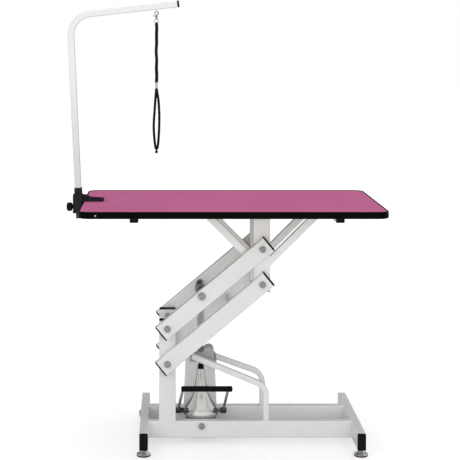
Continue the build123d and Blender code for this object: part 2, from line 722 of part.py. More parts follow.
def snap_ring():
    """Ring below the hook, its top cut away where the hook's end sits."""
    ring = Pos(EYE_X, 0, SNAP_RING_Z) * Rot(90, 0, 0) * Torus(7.8, WIRE_R)
    return ring - rod_z(EYE_X, 0, HOOK_BOTTOM, HANG_Z - 20, 4.3)


def cord(points):
    line = Spline([(EYE_X + x, 0, z) for x, z in points])
    return sweep(Plane(origin=line @ 0, z_dir=line % 0) * Circle(CORD_R), path=line)


def noose_loop():
    loop = cord(RIGHT_CORD) + cord(LEFT_CORD) + Pos(EYE_X, 0, LOOP_BOTTOM) * Sphere(3.6)
    return loop + rod_z(EYE_X, 0, 1275, 1280.8, 4.0)


# -------------------------------------------------------------------- pieces
pieces = {
    "base_beams": base_beams(),
    "base_beam_caps": cross_caps(BEAM_X, BEAM_HALF, BEAM_MID_Z, TUBE_W),
    "base_rails": side_tubes(BEAM_X[0] + HALF_T, BEAM_X[1] - HALF_T, BEAM_Z0, BASE_Z, "x",
                             holes=[(PIN_X, TRUN_Z)]),
    "frame_bolt": frame_bolt(),
    "base_posts": side_tubes(POST_X - HALF_W, POST_X + HALF_W, BASE_Z, POST_TOP - CAP_T, "z",
                             holes=BASE_PIVOTS),
    "base_post_caps": side_caps(POST_X, POST_TOP - CAP_T),
    "base_pivot_bolts": pivot_bolts(BASE_PIVOTS),
    "base_pivot_spacers": pivot_spacers(BASE_PIVOTS),
    "pump_trunnion_bolts": pump_trunnion_bolts(),
    "guard_bars": guard_bars(),
    "ram_guide": ram_guide(),
    "ram_guide_bolts": ram_guide_bolts(),
    "pump_tower": pump_tower(),
    "lower_arm_tie": lower_arm_tie(),
    "ram_pin": ram_pin(),
    "ram_pin_spacers": ram_pin_spacers(),
    "columns": side_tubes(COL_X - HALF_W, COL_X + HALF_W, COL_BOT + CAP_T, SUB_Z, "z",
                          holes=COL_PIVOTS),
    "column_caps": side_caps(COL_X, COL_BOT + CAP_T, turn=180),
    "column_pivot_bolts": pivot_bolts(COL_PIVOTS),
    "column_pivot_spacers": pivot_spacers(COL_PIVOTS),
    "braces": group([brace(side, lean) for side in SIDES for lean in (-1, 1)]),
    "subframe_cross_tubes": subframe_cross_tubes(),
    "subframe_long_tubes": side_tubes(SUB_X[0] + HALF_T, SUB_X[1] - HALF_T, SUB_Z, BOARD_Z,
                                      "x", radius=SUB_R),
    "subframe_caps": cross_caps(SUB_X, SUB_HALF, (SUB_Z + BOARD_Z) / 2, SUB_H, SUB_R),
    "tabletop_board": panel(BOARD_Z, BOARD_T),
    "tabletop_surface": panel(BOARD_Z + BOARD_T, SHEET_T),
    "tabletop_edge": tabletop_edge(),
    "edge_screw": edge_screw(),
    "pump_body": pump_body(),
    "pump_cover": pump_cover(),
    "pump_gland": pump_gland(),
    "ram_rod": rod_z(PIN_X, 0, 150, RAM_ROD_TOP, PIN_R),
    "ram_head": ram_head(),
    "pedal_shaft": rod_x(SHAFT_Y, SHAFT_Z, HUB_X[0] - 12, HUB_X[1] + 12, BOLT_R),
    "pedal_hubs": pedal_hubs(),
    "pedal_bail": pedal_bail(),
    "pedal_sleeve": pedal_sleeve(),
    "clamp_body": clamp_body(),
    "clamp_screw": clamp_screw(),
    "clamp_knob": clamp_knob(),
    "clamp_knob_screw": rod_x(0, KNOB_Z, -595.5, pole_at(KNOB_Z).X - POLE / 2 - 1.2,
                              KNOB_SCREW_R),
    "grooming_arm_cap": grooming_arm_cap(),
    "pole_collar": pole_collar(),
    "grooming_arm": grooming_arm(),
    "snap_hook": snap_hook(),
    "snap_ring": snap_ring(),
    "noose_strap": rod_z(EYE_X, 0, 1304, SNAP_RING_Z - 9.5, 4.4),
    "noose_lock": round_along(block(EYE_X - 5.5, EYE_X + 5.5, -5, 5, 1281, 1303.8), Axis.Z, 2.5),
    "noose_loop": noose_loop(),
    "noose_bead": Pos(EYE_X, 0, 1046.5) * Sphere(5.8),
}
for end_name, x in zip(("left", "right"), BEAM_X):
    for side_name, side in zip(("front", "rear"), SIDES):
        pieces[f"foot_{side_name}_{end_name}"] = foot(x, side * FOOT_Y)
for level, pivot_z in (("lower", PIVOT_LO), ("upper", PIVOT_UP)):
    pieces[level + "_arm_caps"] = arm_caps(pivot_z)
    for side_name, side in zip(("front", "rear"), SIDES):
        pieces[f"{level}_arm_{side_name}"] = lifting_arm(side, pivot_z)

os.makedirs("parts", exist_ok=True)
for name, shape in pieces.items():
    solids = [Pos(ORIGIN_X, 0, 0) * solid for solid in shape.solids()]
    export_step(solids[0] if len(solids) == 1 else Compound(solids), f"parts/{name}.step")
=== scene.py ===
import math
import random

import bpy
import bmesh
from mathutils import Matrix, Vector
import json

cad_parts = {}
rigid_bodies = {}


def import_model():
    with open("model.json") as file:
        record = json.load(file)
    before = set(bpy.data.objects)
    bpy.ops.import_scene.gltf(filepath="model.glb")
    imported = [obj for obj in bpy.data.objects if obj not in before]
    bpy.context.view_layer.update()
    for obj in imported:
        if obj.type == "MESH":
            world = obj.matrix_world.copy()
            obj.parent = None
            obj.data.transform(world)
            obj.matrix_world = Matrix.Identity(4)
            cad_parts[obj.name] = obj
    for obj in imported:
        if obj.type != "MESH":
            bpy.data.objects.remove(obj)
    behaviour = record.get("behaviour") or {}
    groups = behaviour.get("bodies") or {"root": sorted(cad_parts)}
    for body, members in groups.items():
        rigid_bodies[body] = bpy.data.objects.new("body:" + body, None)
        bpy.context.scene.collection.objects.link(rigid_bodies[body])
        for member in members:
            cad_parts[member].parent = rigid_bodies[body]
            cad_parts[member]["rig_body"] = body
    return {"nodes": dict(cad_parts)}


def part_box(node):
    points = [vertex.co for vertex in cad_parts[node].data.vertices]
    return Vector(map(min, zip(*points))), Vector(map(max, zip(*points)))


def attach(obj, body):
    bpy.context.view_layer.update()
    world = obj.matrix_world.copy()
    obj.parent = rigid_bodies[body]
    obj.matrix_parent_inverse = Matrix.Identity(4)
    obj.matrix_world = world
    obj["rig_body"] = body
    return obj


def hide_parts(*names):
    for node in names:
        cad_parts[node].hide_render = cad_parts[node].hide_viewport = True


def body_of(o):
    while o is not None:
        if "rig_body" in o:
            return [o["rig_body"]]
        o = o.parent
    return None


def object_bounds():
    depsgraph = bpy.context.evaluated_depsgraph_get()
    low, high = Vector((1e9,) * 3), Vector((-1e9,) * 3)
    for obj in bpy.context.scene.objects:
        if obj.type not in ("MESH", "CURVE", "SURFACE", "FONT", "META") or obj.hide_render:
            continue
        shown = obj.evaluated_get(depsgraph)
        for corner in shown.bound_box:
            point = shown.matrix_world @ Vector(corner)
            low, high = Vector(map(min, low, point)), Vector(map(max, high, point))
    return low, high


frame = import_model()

random.seed(7)
CAD_LO, CAD_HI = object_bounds()
NODES = frame["nodes"]


# ------------------------------------------------------------------ materials
class Mat:
    """Small helper round a Principled material, in object space metres."""

    def __init__(self, name):
        self.m = bpy.data.materials.new(name)
        self.m.use_nodes = True
        self.nt = self.m.node_tree
        self.nt.nodes.clear()
        self.out = self.nt.nodes.new("ShaderNodeOutputMaterial")
        self.b = self.nt.nodes.new("ShaderNodeBsdfPrincipled")
        self.nt.links.new(self.b.outputs[0], self.out.inputs[0])
        self.tc = self.nt.nodes.new("ShaderNodeTexCoord")
        self.normal = None

    def n(self, kind, **kw):
        node = self.nt.nodes.new(kind)
        for k, v in kw.items():
            setattr(node, k, v)
        return node

    def link(self, a, b):
        self.nt.links.new(a, b)

    def noise(self, scale, detail=2.0, rough=0.5, stretch=None, coord="Object", distort=0.0):
        t = self.n("ShaderNodeTexNoise")
        t.inputs["Scale"].default_value = scale
        t.inputs["Detail"].default_value = detail
        t.inputs["Roughness"].default_value = rough
        t.inputs["Distortion"].default_value = distort
        src = self.tc.outputs[coord]
        if stretch:
            mp = self.n("ShaderNodeMapping")
            mp.inputs["Scale"].default_value = stretch
            self.link(src, mp.inputs[0])
            src = mp.outputs[0]
        self.link(src, t.inputs["Vector"])
        return t.outputs["Fac"]

    def voronoi(self, scale, feature="F1", coord="Object", stretch=None):
        t = self.n("ShaderNodeTexVoronoi", feature=feature)
        t.inputs["Scale"].default_value = scale
        src = self.tc.outputs[coord]
        if stretch:
            mp = self.n("ShaderNodeMapping")
            mp.inputs["Scale"].default_value = stretch
            self.link(src, mp.inputs[0])
            src = mp.outputs[0]
        self.link(src, t.inputs["Vector"])
        return t.outputs["Distance"]

    def ramp(self, fac, stops):
        r = self.n("ShaderNodeValToRGB")
        els = r.color_ramp.elements
        while len(els) < len(stops):
            els.new(0.5)
        for e, (p, c) in zip(els, stops):
            e.position = p
            e.color = (c, c, c, 1) if not isinstance(c, tuple) else (c[0], c[1], c[2], 1)
        self.link(fac, r.inputs[0])
        return r.outputs[0]

    def mix(self, fac, a, b, mode="MIX"):
        x = self.n("ShaderNodeMix", data_type="RGBA", blend_type=mode)
        for sock, v in ((x.inputs[0], fac), (x.inputs[6], a), (x.inputs[7], b)):
            if hasattr(v, "links"):
                self.link(v, sock)
            elif isinstance(v, tuple):
                sock.default_value = (v[0], v[1], v[2], 1)
            else:
                sock.default_value = v
        return x.outputs[2]

    def math(self, op, a, b=0.0):
        x = self.n("ShaderNodeMath", operation=op)
        for sock, v in ((x.inputs[0], a), (x.inputs[1], b)):
            if hasattr(v, "links"):
                self.link(v, sock)
            else:
                sock.default_value = v
        return x.outputs[0]

    def bevel(self, radius=0.0008):
        bv = self.n("ShaderNodeBevel")
        bv.samples = 4
        bv.inputs["Radius"].default_value = radius
        self.normal = bv.outputs[0]

    def bump(self, height, distance, strength=1.0):
        bp = self.n("ShaderNodeBump")
        bp.inputs["Distance"].default_value = distance
        bp.inputs["Strength"].default_value = strength
        self.link(height, bp.inputs["Height"])
        if self.normal is not None:
            self.link(self.normal, bp.inputs["Normal"])
        self.normal = bp.outputs[0]

    def done(self, color, rough, metal=0.0, **kw):
        for key, v in [("Base Color", color), ("Roughness", rough), ("Metallic", metal)] + list(kw.items()):
            s = self.b.inputs[key]
            if hasattr(v, "links"):
                self.link(v, s)
            elif isinstance(v, tuple):
                s.default_value = (v[0], v[1], v[2], 1)
            else:
                s.default_value = v
        if self.normal is not None:
            self.link(self.normal, self.b.inputs["Normal"])
        return self.m


def white_paint(name="white_powder_coat", tone=0.80, rise=None):
    """Powder coat: orange-peel bump, faint clouding, slightly duller scuffs."""
    m = Mat(name)
    m.bevel(0.0011)
    peel = m.noise(620.0, 2.0, 0.55)
    fine = m.noise(2400.0, 1.0, 0.5)
    m.bump(peel, 0.00007, 0.55)
    m.bump(fine, 0.00002, 0.4)
    cloud = m.noise(9.0, 4.0, 0.6)
    base = m.mix(m.ramp(cloud, [(0.32, 0.0), (0.72, 1.0)]), (tone, tone, tone * 0.995), (tone * 0.955, tone * 0.955, tone * 0.95))
    scuff = m.ramp(m.noise(55.0, 5.0, 0.75, stretch=(1.0, 1.0, 3.0)), [(0.66, 0.0), (0.74, 1.0)])
    base = m.mix(m.math("MULTIPLY", scuff, 0.25), base, (tone * 0.8, tone * 0.8, tone * 0.79))
    if rise:
        # lighter towards the top; black below the clamp, where the tube sticks out 20 mm: a choice of look, not a real coating
        sep = m.n("ShaderNodeSeparateXYZ")
        m.link(m.tc.outputs["Object"], sep.inputs[0])
        up = m.math("DIVIDE", m.math("SUBTRACT", sep.outputs[2], rise[0]), rise[1] - rise[0])
        base = m.mix(m.ramp(up, [(0.0, 0.0), (1.0, 1.0)]), base, (0.85, 0.85, 0.846))
        base = m.mix(m.math("LESS_THAN", sep.outputs[2], 0.8555), base, (0.010, 0.010, 0.011))
    rough = m.math("ADD", m.math("MULTIPLY", peel, 0.12), m.math("ADD", m.math("MULTIPLY", scuff, 0.15), 0.27))
    return m.done(base, rough, 0.0, **{"Coat Weight": 0.25, "Coat Roughness": 0.18, "Specular IOR Level": 0.5})


def black_plastic(name="black_moulded_plastic", base=0.0035, rough0=0.42, grain=1300.0, depth=0.00006):
    """Moulded plastic: fine spark-eroded grain, soft sheen, slight dust."""
    m = Mat(name)
    m.bevel(0.0006)
    g = m.noise(grain, 3.0, 0.6)
    m.bump(g, depth, 0.6)
    dust = m.ramp(m.noise(40.0, 5.0, 0.7), [(0.5, 0.0), (0.85, 1.0)])
    col = m.mix(m.math("MULTIPLY", dust, 0.35), (base, base, base * 1.03), (base * 2.6, base * 2.6, base * 2.5))
    rough = m.math("ADD", m.math("MULTIPLY", g, 0.2), rough0 - 0.08)
    return m.done(col, rough, 0.0, **{"Specular IOR Level": 0.16})


def rubber(name="black_rubber", base=0.005, rough0=0.5, sheen=0.15):
    """Extruded rubber: faint draw lines along it, dusty bloom, soft highlight."""
    m = Mat(name)
    m.bevel(0.0010)
    draw = m.noise(60.0, 3.0, 0.6, stretch=(1.0, 1.0, 26.0))
    fine = m.noise(1800.0, 2.0, 0.6)
    m.bump(draw, 0.00008, 0.5)
    m.bump(fine, 0.00003, 0.4)
    bloom = m.ramp(m.noise(14.0, 5.0, 0.65), [(0.4, 0.0), (0.8, 1.0)])
    col = m.mix(m.math("MULTIPLY", bloom, 0.4), (base, base, base), (base * 2.2, base * 2.2, base * 2.2))
    rough = m.math("ADD", m.math("MULTIPLY", draw, 0.15), rough0 - 0.08)
    return m.done(col, rough, 0.0, **{"Specular IOR Level": 0.045, "Sheen Weight": sheen * 0.05, "Sheen Roughness": 0.4})


def metal(name, base, rough0, brush=(1.0, 1.0, 1.0), scale=300.0, tint=None, spot=0.12, bevel=0.0005, depth=0.00003):
    """Plated or bare steel: directional brushing, tarnish, tiny pits."""
    m = Mat(name)
    m.bevel(bevel)
    br = m.noise(scale, 4.0, 0.7, stretch=brush)
    pits = m.ramp(m.voronoi(900.0), [(0.05, 0.0), (0.16, 1.0)])
    m.bump(br, depth, 0.5)
    m.bump(pits, 0.00002, 0.25)
    tarn = m.ramp(m.noise(70.0, 5.0, 0.7), [(0.42, 0.0), (0.75, 1.0)])
    t = tint or (base * 0.9, base * 0.86, base * 0.78)
    col = m.mix(m.math("MULTIPLY", tarn, 0.55), (base, base, base * 1.01), t)
    rough = m.math("ADD", m.math("MULTIPLY", br, 0.16), m.math("ADD", m.math("MULTIPLY", tarn, spot), rough0 - 0.08))
    return m.done(col, rough, 1.0)


def chrome():
    """Spun chrome cover: bright, a little warm, with very faint circular lapping and smudges."""
    m = Mat("polished_chrome")
    ring = m.noise(14.0, 3.0, 0.6, stretch=(0.6, 0.6, 60.0))
    smudge = m.ramp(m.noise(22.0, 5.0, 0.65), [(0.45, 0.0), (0.8, 1.0)])
    m.bump(ring, 0.00001, 0.10)
    m.bump(m.noise(9.0, 2.0, 0.5), 0.0003, 0.08)
    col = m.mix(smudge, (0.93, 0.915, 0.89), (0.90, 0.885, 0.86))
    # painted reflection: the colour darkens towards the silhouette by the facing ratio, standing in for the dark
    # outline that the cover reflects
    lw = m.n("ShaderNodeLayerWeight")
    lw.inputs["Blend"].default_value = 0.5
    edge = m.ramp(lw.outputs["Facing"], [(0.0, 1.0), (0.40, 0.98), (0.52, 0.70), (0.62, 0.10), (0.72, 0.03), (1.0, 0.02)])
    col = m.mix(1.0, col, edge, "MULTIPLY")
    rough = m.math("ADD", m.math("MULTIPLY", smudge, 0.03), m.math("ADD", m.math("MULTIPLY", ring, 0.02), 0.22))
    return m.done(col, rough, 1.0)


def pink_mat():
    """Non-slip sheet: fine pebble grain in relief, colour a little darker in the valleys, faint wear."""
    m = Mat("pink_pebbled_sheet")
    cell = m.voronoi(520.0, "SMOOTH_F1")
    cell2 = m.voronoi(1150.0)
    grain = m.math("ADD", m.math("MULTIPLY", cell, 0.75), m.math("MULTIPLY", cell2, 0.25))
    m.bump(grain, 0.00032, 0.55)
    m.bump(m.noise(45.0, 3.0, 0.5), 0.0004, 0.12)
    valley = m.ramp(grain, [(0.2, 0.0), (0.62, 1.0)])
    base = m.mix(valley, (0.578, 0.150, 0.318), (0.500, 0.120, 0.266))
    cloud = m.ramp(m.noise(3.2, 5.0, 0.6), [(0.35, 0.0), (0.7, 1.0)])
    base = m.mix(m.math("MULTIPLY", cloud, 0.5), base, (0.480, 0.112, 0.258))
    wear = m.ramp(m.noise(26.0, 6.0, 0.75), [(0.62, 0.0), (0.78, 1.0)])
    base = m.mix(m.math("MULTIPLY", wear, 0.16), base, (0.55, 0.17, 0.31))
    # the rolled rim of the sheet catches more light
    sep = m.n("ShaderNodeSeparateXYZ")
    m.link(m.tc.outputs["Object"], sep.inputs[0])
    ex = m.math("GREATER_THAN", m.math("ABSOLUTE", m.math("SUBTRACT", sep.outputs[0], 0.031)), 0.529)
    ey = m.math("GREATER_THAN", m.math("ABSOLUTE", sep.outputs[1]), 0.2925)
    rim = m.math("MAXIMUM", ex, ey)
    base = m.mix(m.math("MULTIPLY", rim, 0.55), base, (0.62, 0.17, 0.34))
    rough = m.math("ADD", m.math("MULTIPLY", grain, 0.2), 0.42)
    return m.done(base, rough, 0.0, **{"Specular IOR Level": 0.22})


def cast_black():
    """Textured black paint on a casting."""
    m = Mat("black_cast_paint")
    m.bevel(0.0012)
    lump = m.noise(260.0, 4.0, 0.65)
    fine = m.noise(1500.0, 2.0, 0.6)
    m.bump(lump, 0.00018, 0.6)
    m.bump(fine, 0.00004, 0.5)
    wear = m.ramp(m.noise(120.0, 5.0, 0.75), [(0.6, 0.0), (0.72, 1.0)])
    col = m.mix(m.math("MULTIPLY", wear, 0.4), (0.008, 0.008, 0.009), (0.035, 0.035, 0.034))
    rough = m.math("ADD", m.math("MULTIPLY", lump, 0.25), 0.28)
    return m.done(col, rough, 0.0, **{"Specular IOR Level": 0.30})


def pump_iron():
    """Sand-cast iron under thin grey paint."""
    m = Mat("painted_cast_iron")
    m.bevel(0.0012)
    s = m.noise(420.0, 5.0, 0.7)
    m.bump(s, 0.00035, 0.7)
    oil = m.ramp(m.noise(16.0, 4.0, 0.6), [(0.42, 0.0), (0.72, 1.0)])
    col = m.mix(oil, (0.30, 0.30, 0.30), (0.20, 0.195, 0.19))
    rough = m.math("SUBTRACT", 0.62, m.math("MULTIPLY", oil, 0.3))
    return m.done(col, rough, 0.3)


def board_wood():
    """Fibreboard core: pressed fibre flecks."""
    m = Mat("fibreboard")
    f = m.noise(180.0, 6.0, 0.8, stretch=(1.0, 1.6, 5.0))
    fl = m.ramp(m.noise(900.0, 3.0, 0.8, stretch=(0.35, 1.0, 1.0)), [(0.5, 0.0), (0.72, 1.0)])
    m.bump(f, 0.00012, 0.6)
    col = m.mix(f, (0.30, 0.21, 0.13), (0.42, 0.31, 0.20))
    col = m.mix(m.math("MULTIPLY", fl, 0.35), col, (0.20, 0.135, 0.08))
    return m.done(col, m.math("ADD", m.math("MULTIPLY", f, 0.2), 0.55), 0.0)


def woven(name="black_nylon_webbing", base=0.005, along=0.0022, across=0.0016):
    """Woven nylon on the piece's own UV metres: u along it, v across it; herringbone ribs in relief."""
    m = Mat(name)
    sep = m.n("ShaderNodeSeparateXYZ")
    m.link(m.tc.outputs["UV"], sep.inputs[0])
    u, v = sep.outputs[0], sep.outputs[1]
    ribs = m.math("SINE", m.math("MULTIPLY", v, 2 * math.pi / across))
    zig = m.math("PINGPONG", m.math("DIVIDE", v, across * 2), 1.0)
    diag = m.math("SINE", m.math("MULTIPLY", m.math("ADD", m.math("DIVIDE", u, along), zig), 2 * math.pi))
    h = m.math("ADD", m.math("MULTIPLY", m.math("ADD", ribs, 1.0), 0.28), m.math("MULTIPLY", m.math("ADD", diag, 1.0), 0.22))
    fuzz = m.noise(2600.0, 3.0, 0.7)
    m.bump(h, 0.00035, 0.8)
    m.bump(fuzz, 0.00006, 0.5)
    col = m.mix(m.ramp(h, [(0.15, 0.0), (0.85, 1.0)]), (base * 0.5, base * 0.5, base * 0.5), (base * 2.2, base * 2.2, base * 2.3))
    fade = m.ramp(m.noise(30.0, 4.0, 0.6), [(0.45, 0.0), (0.8, 1.0)])
    col = m.mix(m.math("MULTIPLY", fade, 0.3), col, (base * 3.0, base * 3.0, base * 3.0))
    return m.done(col, m.math("SUBTRACT", 0.78, m.math("MULTIPLY", h, 0.15)), 0.0, **{"Specular IOR Level": 0.10, "Sheen Weight": 0.03, "Sheen Roughness": 0.4})


M = {
    "white": white_paint(),
    "white_arm": white_paint("white_arm_coat", 0.72, (1.02, 1.36)),
    # painted light: a lighter copy of the white coat, lifting the shade on the tower, columns, rear arms and braces
    "white_painted_light": white_paint("white_coat_painted_light", 0.93),
    # painted shade: the bracket on top of the pump tower has the same white coat, toned down to grey for the shade it
    # sits in
    "bracket_painted_shade": white_paint("bracket_coat_painted_shade", 0.46),
    "plastic": black_plastic(),
    "rubber": rubber(),
    "trim": rubber("edge_rubber", 0.0018, 0.34, 0.0),
    "zinc": metal("zinc_plate", 0.56, 0.26, (1.0, 1.0, 1.0), 240.0, (0.42, 0.41, 0.37)),
    "zinc_rod": metal("zinc_rod", 0.42, 0.30, (1.0, 1.0, 6.0), 180.0, (0.33, 0.32, 0.29)),
    "nickel": metal("nickel_plate", 0.72, 0.20, (1.0, 1.0, 1.0), 300.0, (0.66, 0.62, 0.55)),
    "grey": metal("dull_grey_steel", 0.20, 0.42, (1.0, 1.0, 8.0), 200.0, (0.13, 0.125, 0.12), 0.15, 0.0012, 0.00008),
    "bolt": metal("bolt_steel", 0.22, 0.30, (1.0, 1.0, 1.0), 240.0, (0.14, 0.135, 0.12)),
    "dark": metal("blackened_steel", 0.075, 0.36, (1.0, 1.0, 10.0), 200.0, (0.05, 0.048, 0.045), 0.15, 0.0008, 0.00006),
    "ram": metal("ground_ram_steel", 0.26, 0.24, (1.0, 1.0, 0.02), 420.0, (0.05, 0.05, 0.05), 0.1, 0.0008, 0.00008),
    "cast_grey": metal("grey_casting", 0.30, 0.48, (1.0, 1.0, 1.0), 320.0, (0.22, 0.215, 0.21), 0.12, 0.0020, 0.00025),
    "chrome": chrome(),
    "mat": pink_mat(),
    "cast": cast_black(),
    "iron": pump_iron(),
    "aged": metal("aged_nickel", 0.36, 0.28, (1.0, 1.0, 1.0), 300.0, (0.25, 0.20, 0.15)),
    "board": board_wood(),
    "nylon": woven(),
    "thread": woven("bar_tack_thread", 0.02, 0.0011, 0.0008),
}


def paint(node, key):
    o = NODES[node]
    if not o.material_slots:
        o.data.materials.append(M[key])
    for s in o.material_slots:
        s.material = M[key]


PAINT = {
    # painted light: the parts that sit in shade get the lighter copy of the white coat
    "white_painted_light": ["pump_tower", "columns", "upper_arm_rear", "lower_arm_rear", "braces"],
    # painted shade: the ram guide gets the grey-toned copy of the white coat
    "bracket_painted_shade": ["ram_guide"],
    "white": ["base_beams", "base_rails", "base_posts", "guard_bars", "upper_arm_front", "lower_arm_front", "lower_arm_tie", "subframe_cross_tubes",
              "subframe_long_tubes"],
    "white_arm": ["grooming_arm"],
    "plastic": ["base_beam_caps", "base_post_caps", "upper_arm_caps", "lower_arm_caps", "column_caps", "subframe_caps",
                "grooming_arm_cap", "clamp_knob"],
    "zinc": ["frame_bolt", "base_pivot_bolts", "pump_trunnion_bolts", "ram_pin", "column_pivot_bolts",
             "clamp_knob_screw", "base_pivot_spacers", "column_pivot_spacers", "clamp_screw", "ram_head"],
    "nickel": ["edge_screw", "snap_hook", "snap_ring", "noose_lock"],
    "grey": ["ram_pin_spacers", "pedal_shaft"],
    "zinc_rod": ["pedal_bail"],
    "ram": ["ram_rod"],
    "dark": ["pedal_hubs"],
    "bolt": ["ram_guide_bolts"],
    
    "chrome": ["pump_cover"],
    "mat": ["tabletop_surface"],
    "trim": ["tabletop_edge"],
    "rubber": ["pump_gland", "pedal_sleeve"],
    "cast": ["clamp_body", "pole_collar"],
    "iron": ["pump_body"],
    "board": ["tabletop_board"],
    "nylon": ["noose_strap", "noose_loop", "noose_bead"],
}
for key, names in PAINT.items():
    for nm in names:
        paint(nm, key)
for nm in ("foot_front_left", "foot_front_right", "foot_rear_left", "foot_rear_right"):
    paint(nm, "zinc")


# -------------------------------------------------------------------- meshes
def obj(name, verts, faces, key, smooth=True, uvs=None):
    me = bpy.data.meshes.new(name)
    me.from_pydata([tuple(v) for v in verts], [], faces)
    me.update()
    if uvs is not None:
        layer = me.uv_layers.new(name="UVMap")
        for li, uv in zip(range(len(me.loops)), uvs):
            layer.data[li].uv = uv
    o = bpy.data.objects.new(name, me)
    bpy.context.scene.collection.objects.link(o)
    me.materials.append(M[key])
    if smooth:
        for p in me.polygons:
            p.use_smooth = True
    return o


def sharp(o, angle=35.0):
    """Marks hard edges by angle, so that smooth shading keeps its corners."""
    bm = bmesh.new()
    bm.from_mesh(o.data)
    for e in bm.edges:
        if len(e.link_faces) == 2 and e.calc_face_angle(0.0) > math.radians(angle):
            e.smooth = False
    bm.to_mesh(o.data)
    bm.free()
    return o


def frames(points, closed=False, up=None):
    """Parallel-transport frames along a polyline."""
    n = len(points)
    tang = []
    for i in range(n):
        a = points[(i - 1) % n] if (closed or i > 0) else points[0]
        b = points[(i + 1) % n] if (closed or i < n - 1) else points[-1]
        tang.append((b - a).normalized())
    ref = Vector(up) if up is not None else (Vector((0, 1, 0)) if abs(tang[0].y) < 0.9 else Vector((1, 0, 0)))
    nrm = (ref - tang[0] * ref.dot(tang[0])).normalized()
    out = []
    for i in range(n):
        nrm = (nrm - tang[i] * nrm.dot(tang[i])).normalized()
        out.append((nrm.copy(), tang[i].cross(nrm).normalized()))
    return out


def sweep(name, points, profile, key, closed=False, up=None, cap=True, twist=None, smooth=True):
    """profile(i, t) -> list of (a, b) offsets on the frame's two normals; makes UVs in metres."""
    points = [Vector(p) for p in points]
    fr = frames(points, closed, up)
    n = len(points)
    lens = [0.0]
    for i in range(1, n):
        lens.append(lens[-1] + (points[i] - points[i - 1]).length)
    verts, ring = [], None
    for i, p in enumerate(points):
        prof = profile(i, lens[i] / max(lens[-1], 1e-9))
        ring = len(prof)
        tw = twist(lens[i] / max(lens[-1], 1e-9)) if twist else 0.0
        c, s = math.cos(tw), math.sin(tw)
        a, b = fr[i]
        for (x, y) in prof:
            verts.append(p + a * (x * c - y * s) + b * (x * s + y * c))
    prof = profile(0, 0.0)
    per = [0.0]
    for j in range(1, ring + 1):
        q, r = prof[j - 1], prof[j % ring]
        per.append(per[-1] + math.hypot(q[0] - r[0], q[1] - r[1]))
    faces, uvs = [], []
    for i in range(n if closed else n - 1):
        k = (i + 1) % n
        for j in range(ring):
            l = (j + 1) % ring
            faces.append((i * ring + j, i * ring + l, k * ring + l, k * ring + j))
            u0 = lens[i]
            u1 = lens[k] if k else lens[i] + (points[0] - points[i]).length
            uvs += [(u0, per[j]), (u0, per[j + 1]), (u1, per[j + 1]), (u1, per[j])]
    if cap and not closed:
        faces.append(tuple(range(ring))[::-1])
        uvs += [(prof[j][0], prof[j][1]) for j in range(ring)][::-1]
        faces.append(tuple((n - 1) * ring + j for j in range(ring)))
        uvs += [(prof[j][0], prof[j][1]) for j in range(ring)]
    return obj(name, verts, faces, key, smooth, uvs)


def circle(r, n=16):
    return [(r * math.cos(2 * math.pi * j / n), r * math.sin(2 * math.pi * j / n)) for j in range(n)]


def rounded(w, t, r, n=4):
    """Rounded rectangle outline, w across the first normal and t across the second."""
    pts = []
    for cx, cy, a0 in ((w / 2 - r, t / 2 - r, 0), (-w / 2 + r, t / 2 - r, 90), (-w / 2 + r, -t / 2 + r, 180), (w / 2 - r, -t / 2 + r, 270)):
        for k in range(n + 1):
            a = math.radians(a0 + 90 * k / n)
            pts.append((cx + r * math.cos(a), cy + r * math.sin(a)))
    return pts


def lathe(name, prof, centre, key, segs=64, axis="Z", wave=None, closed=True):
    """Revolves (radius, height) pairs. wave(angle, i) -> radius factor for lobes and flutes."""
    verts, faces = [], []
    n = len(prof)
    for s in range(segs):
        a = 2 * math.pi * s / segs
        for i, (r, h) in enumerate(prof):
            rr = r * (wave(a, i) if wave else 1.0)
            p = Vector((rr * math.cos(a), rr * math.sin(a), h))
            if axis == "X":
                p = Vector((p.z, p.x, p.y))
            elif axis == "Y":
                p = Vector((p.x, p.z, -p.y))
            verts.append(Vector(centre) + p)
    for s in range(segs):
        t = (s + 1) % segs
        for i in range(n if closed else n - 1):
            k = (i + 1) % n
            faces.append((s * n + i, t * n + i, t * n + k, s * n + k))
    o = obj(name, verts, faces, key, True, None)
    bm = bmesh.new()
    bm.from_mesh(o.data)
    bmesh.ops.remove_doubles(bm, verts=bm.verts, dist=1e-6)
    bmesh.ops.recalc_face_normals(bm, faces=bm.faces)
    bm.to_mesh(o.data)
    bm.free()
    return sharp(o, 40)


def spline(points, per=8):
    """Catmull-Rom through the points."""
    p = [Vector(q) for q in points]
    out = []
    for i in range(len(p) - 1):
        a, b, c, d = p[max(i - 1, 0)], p[i], p[i + 1], p[min(i + 2, len(p) - 1)]
        for k in range(per):
            t = k / per
            out.append(0.5 * ((2 * b) + (c - a) * t + (2 * a - 5 * b + 4 * c - d) * t * t + (3 * b - a - 3 * c + d) * t ** 3))
    out.append(p[-1])
    return out


def centre(node):
    lo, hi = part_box(node)
    return (lo + hi) / 2


def join(name, objs):
    """One mesh out of several, keeping materials and UVs."""
    bpy.ops.object.select_all(action="DESELECT")
    for o in objs:
        o.select_set(True)
    bpy.context.view_layer.objects.active = objs[0]
    bpy.ops.object.join()
    objs[0].name = name
    return objs[0]


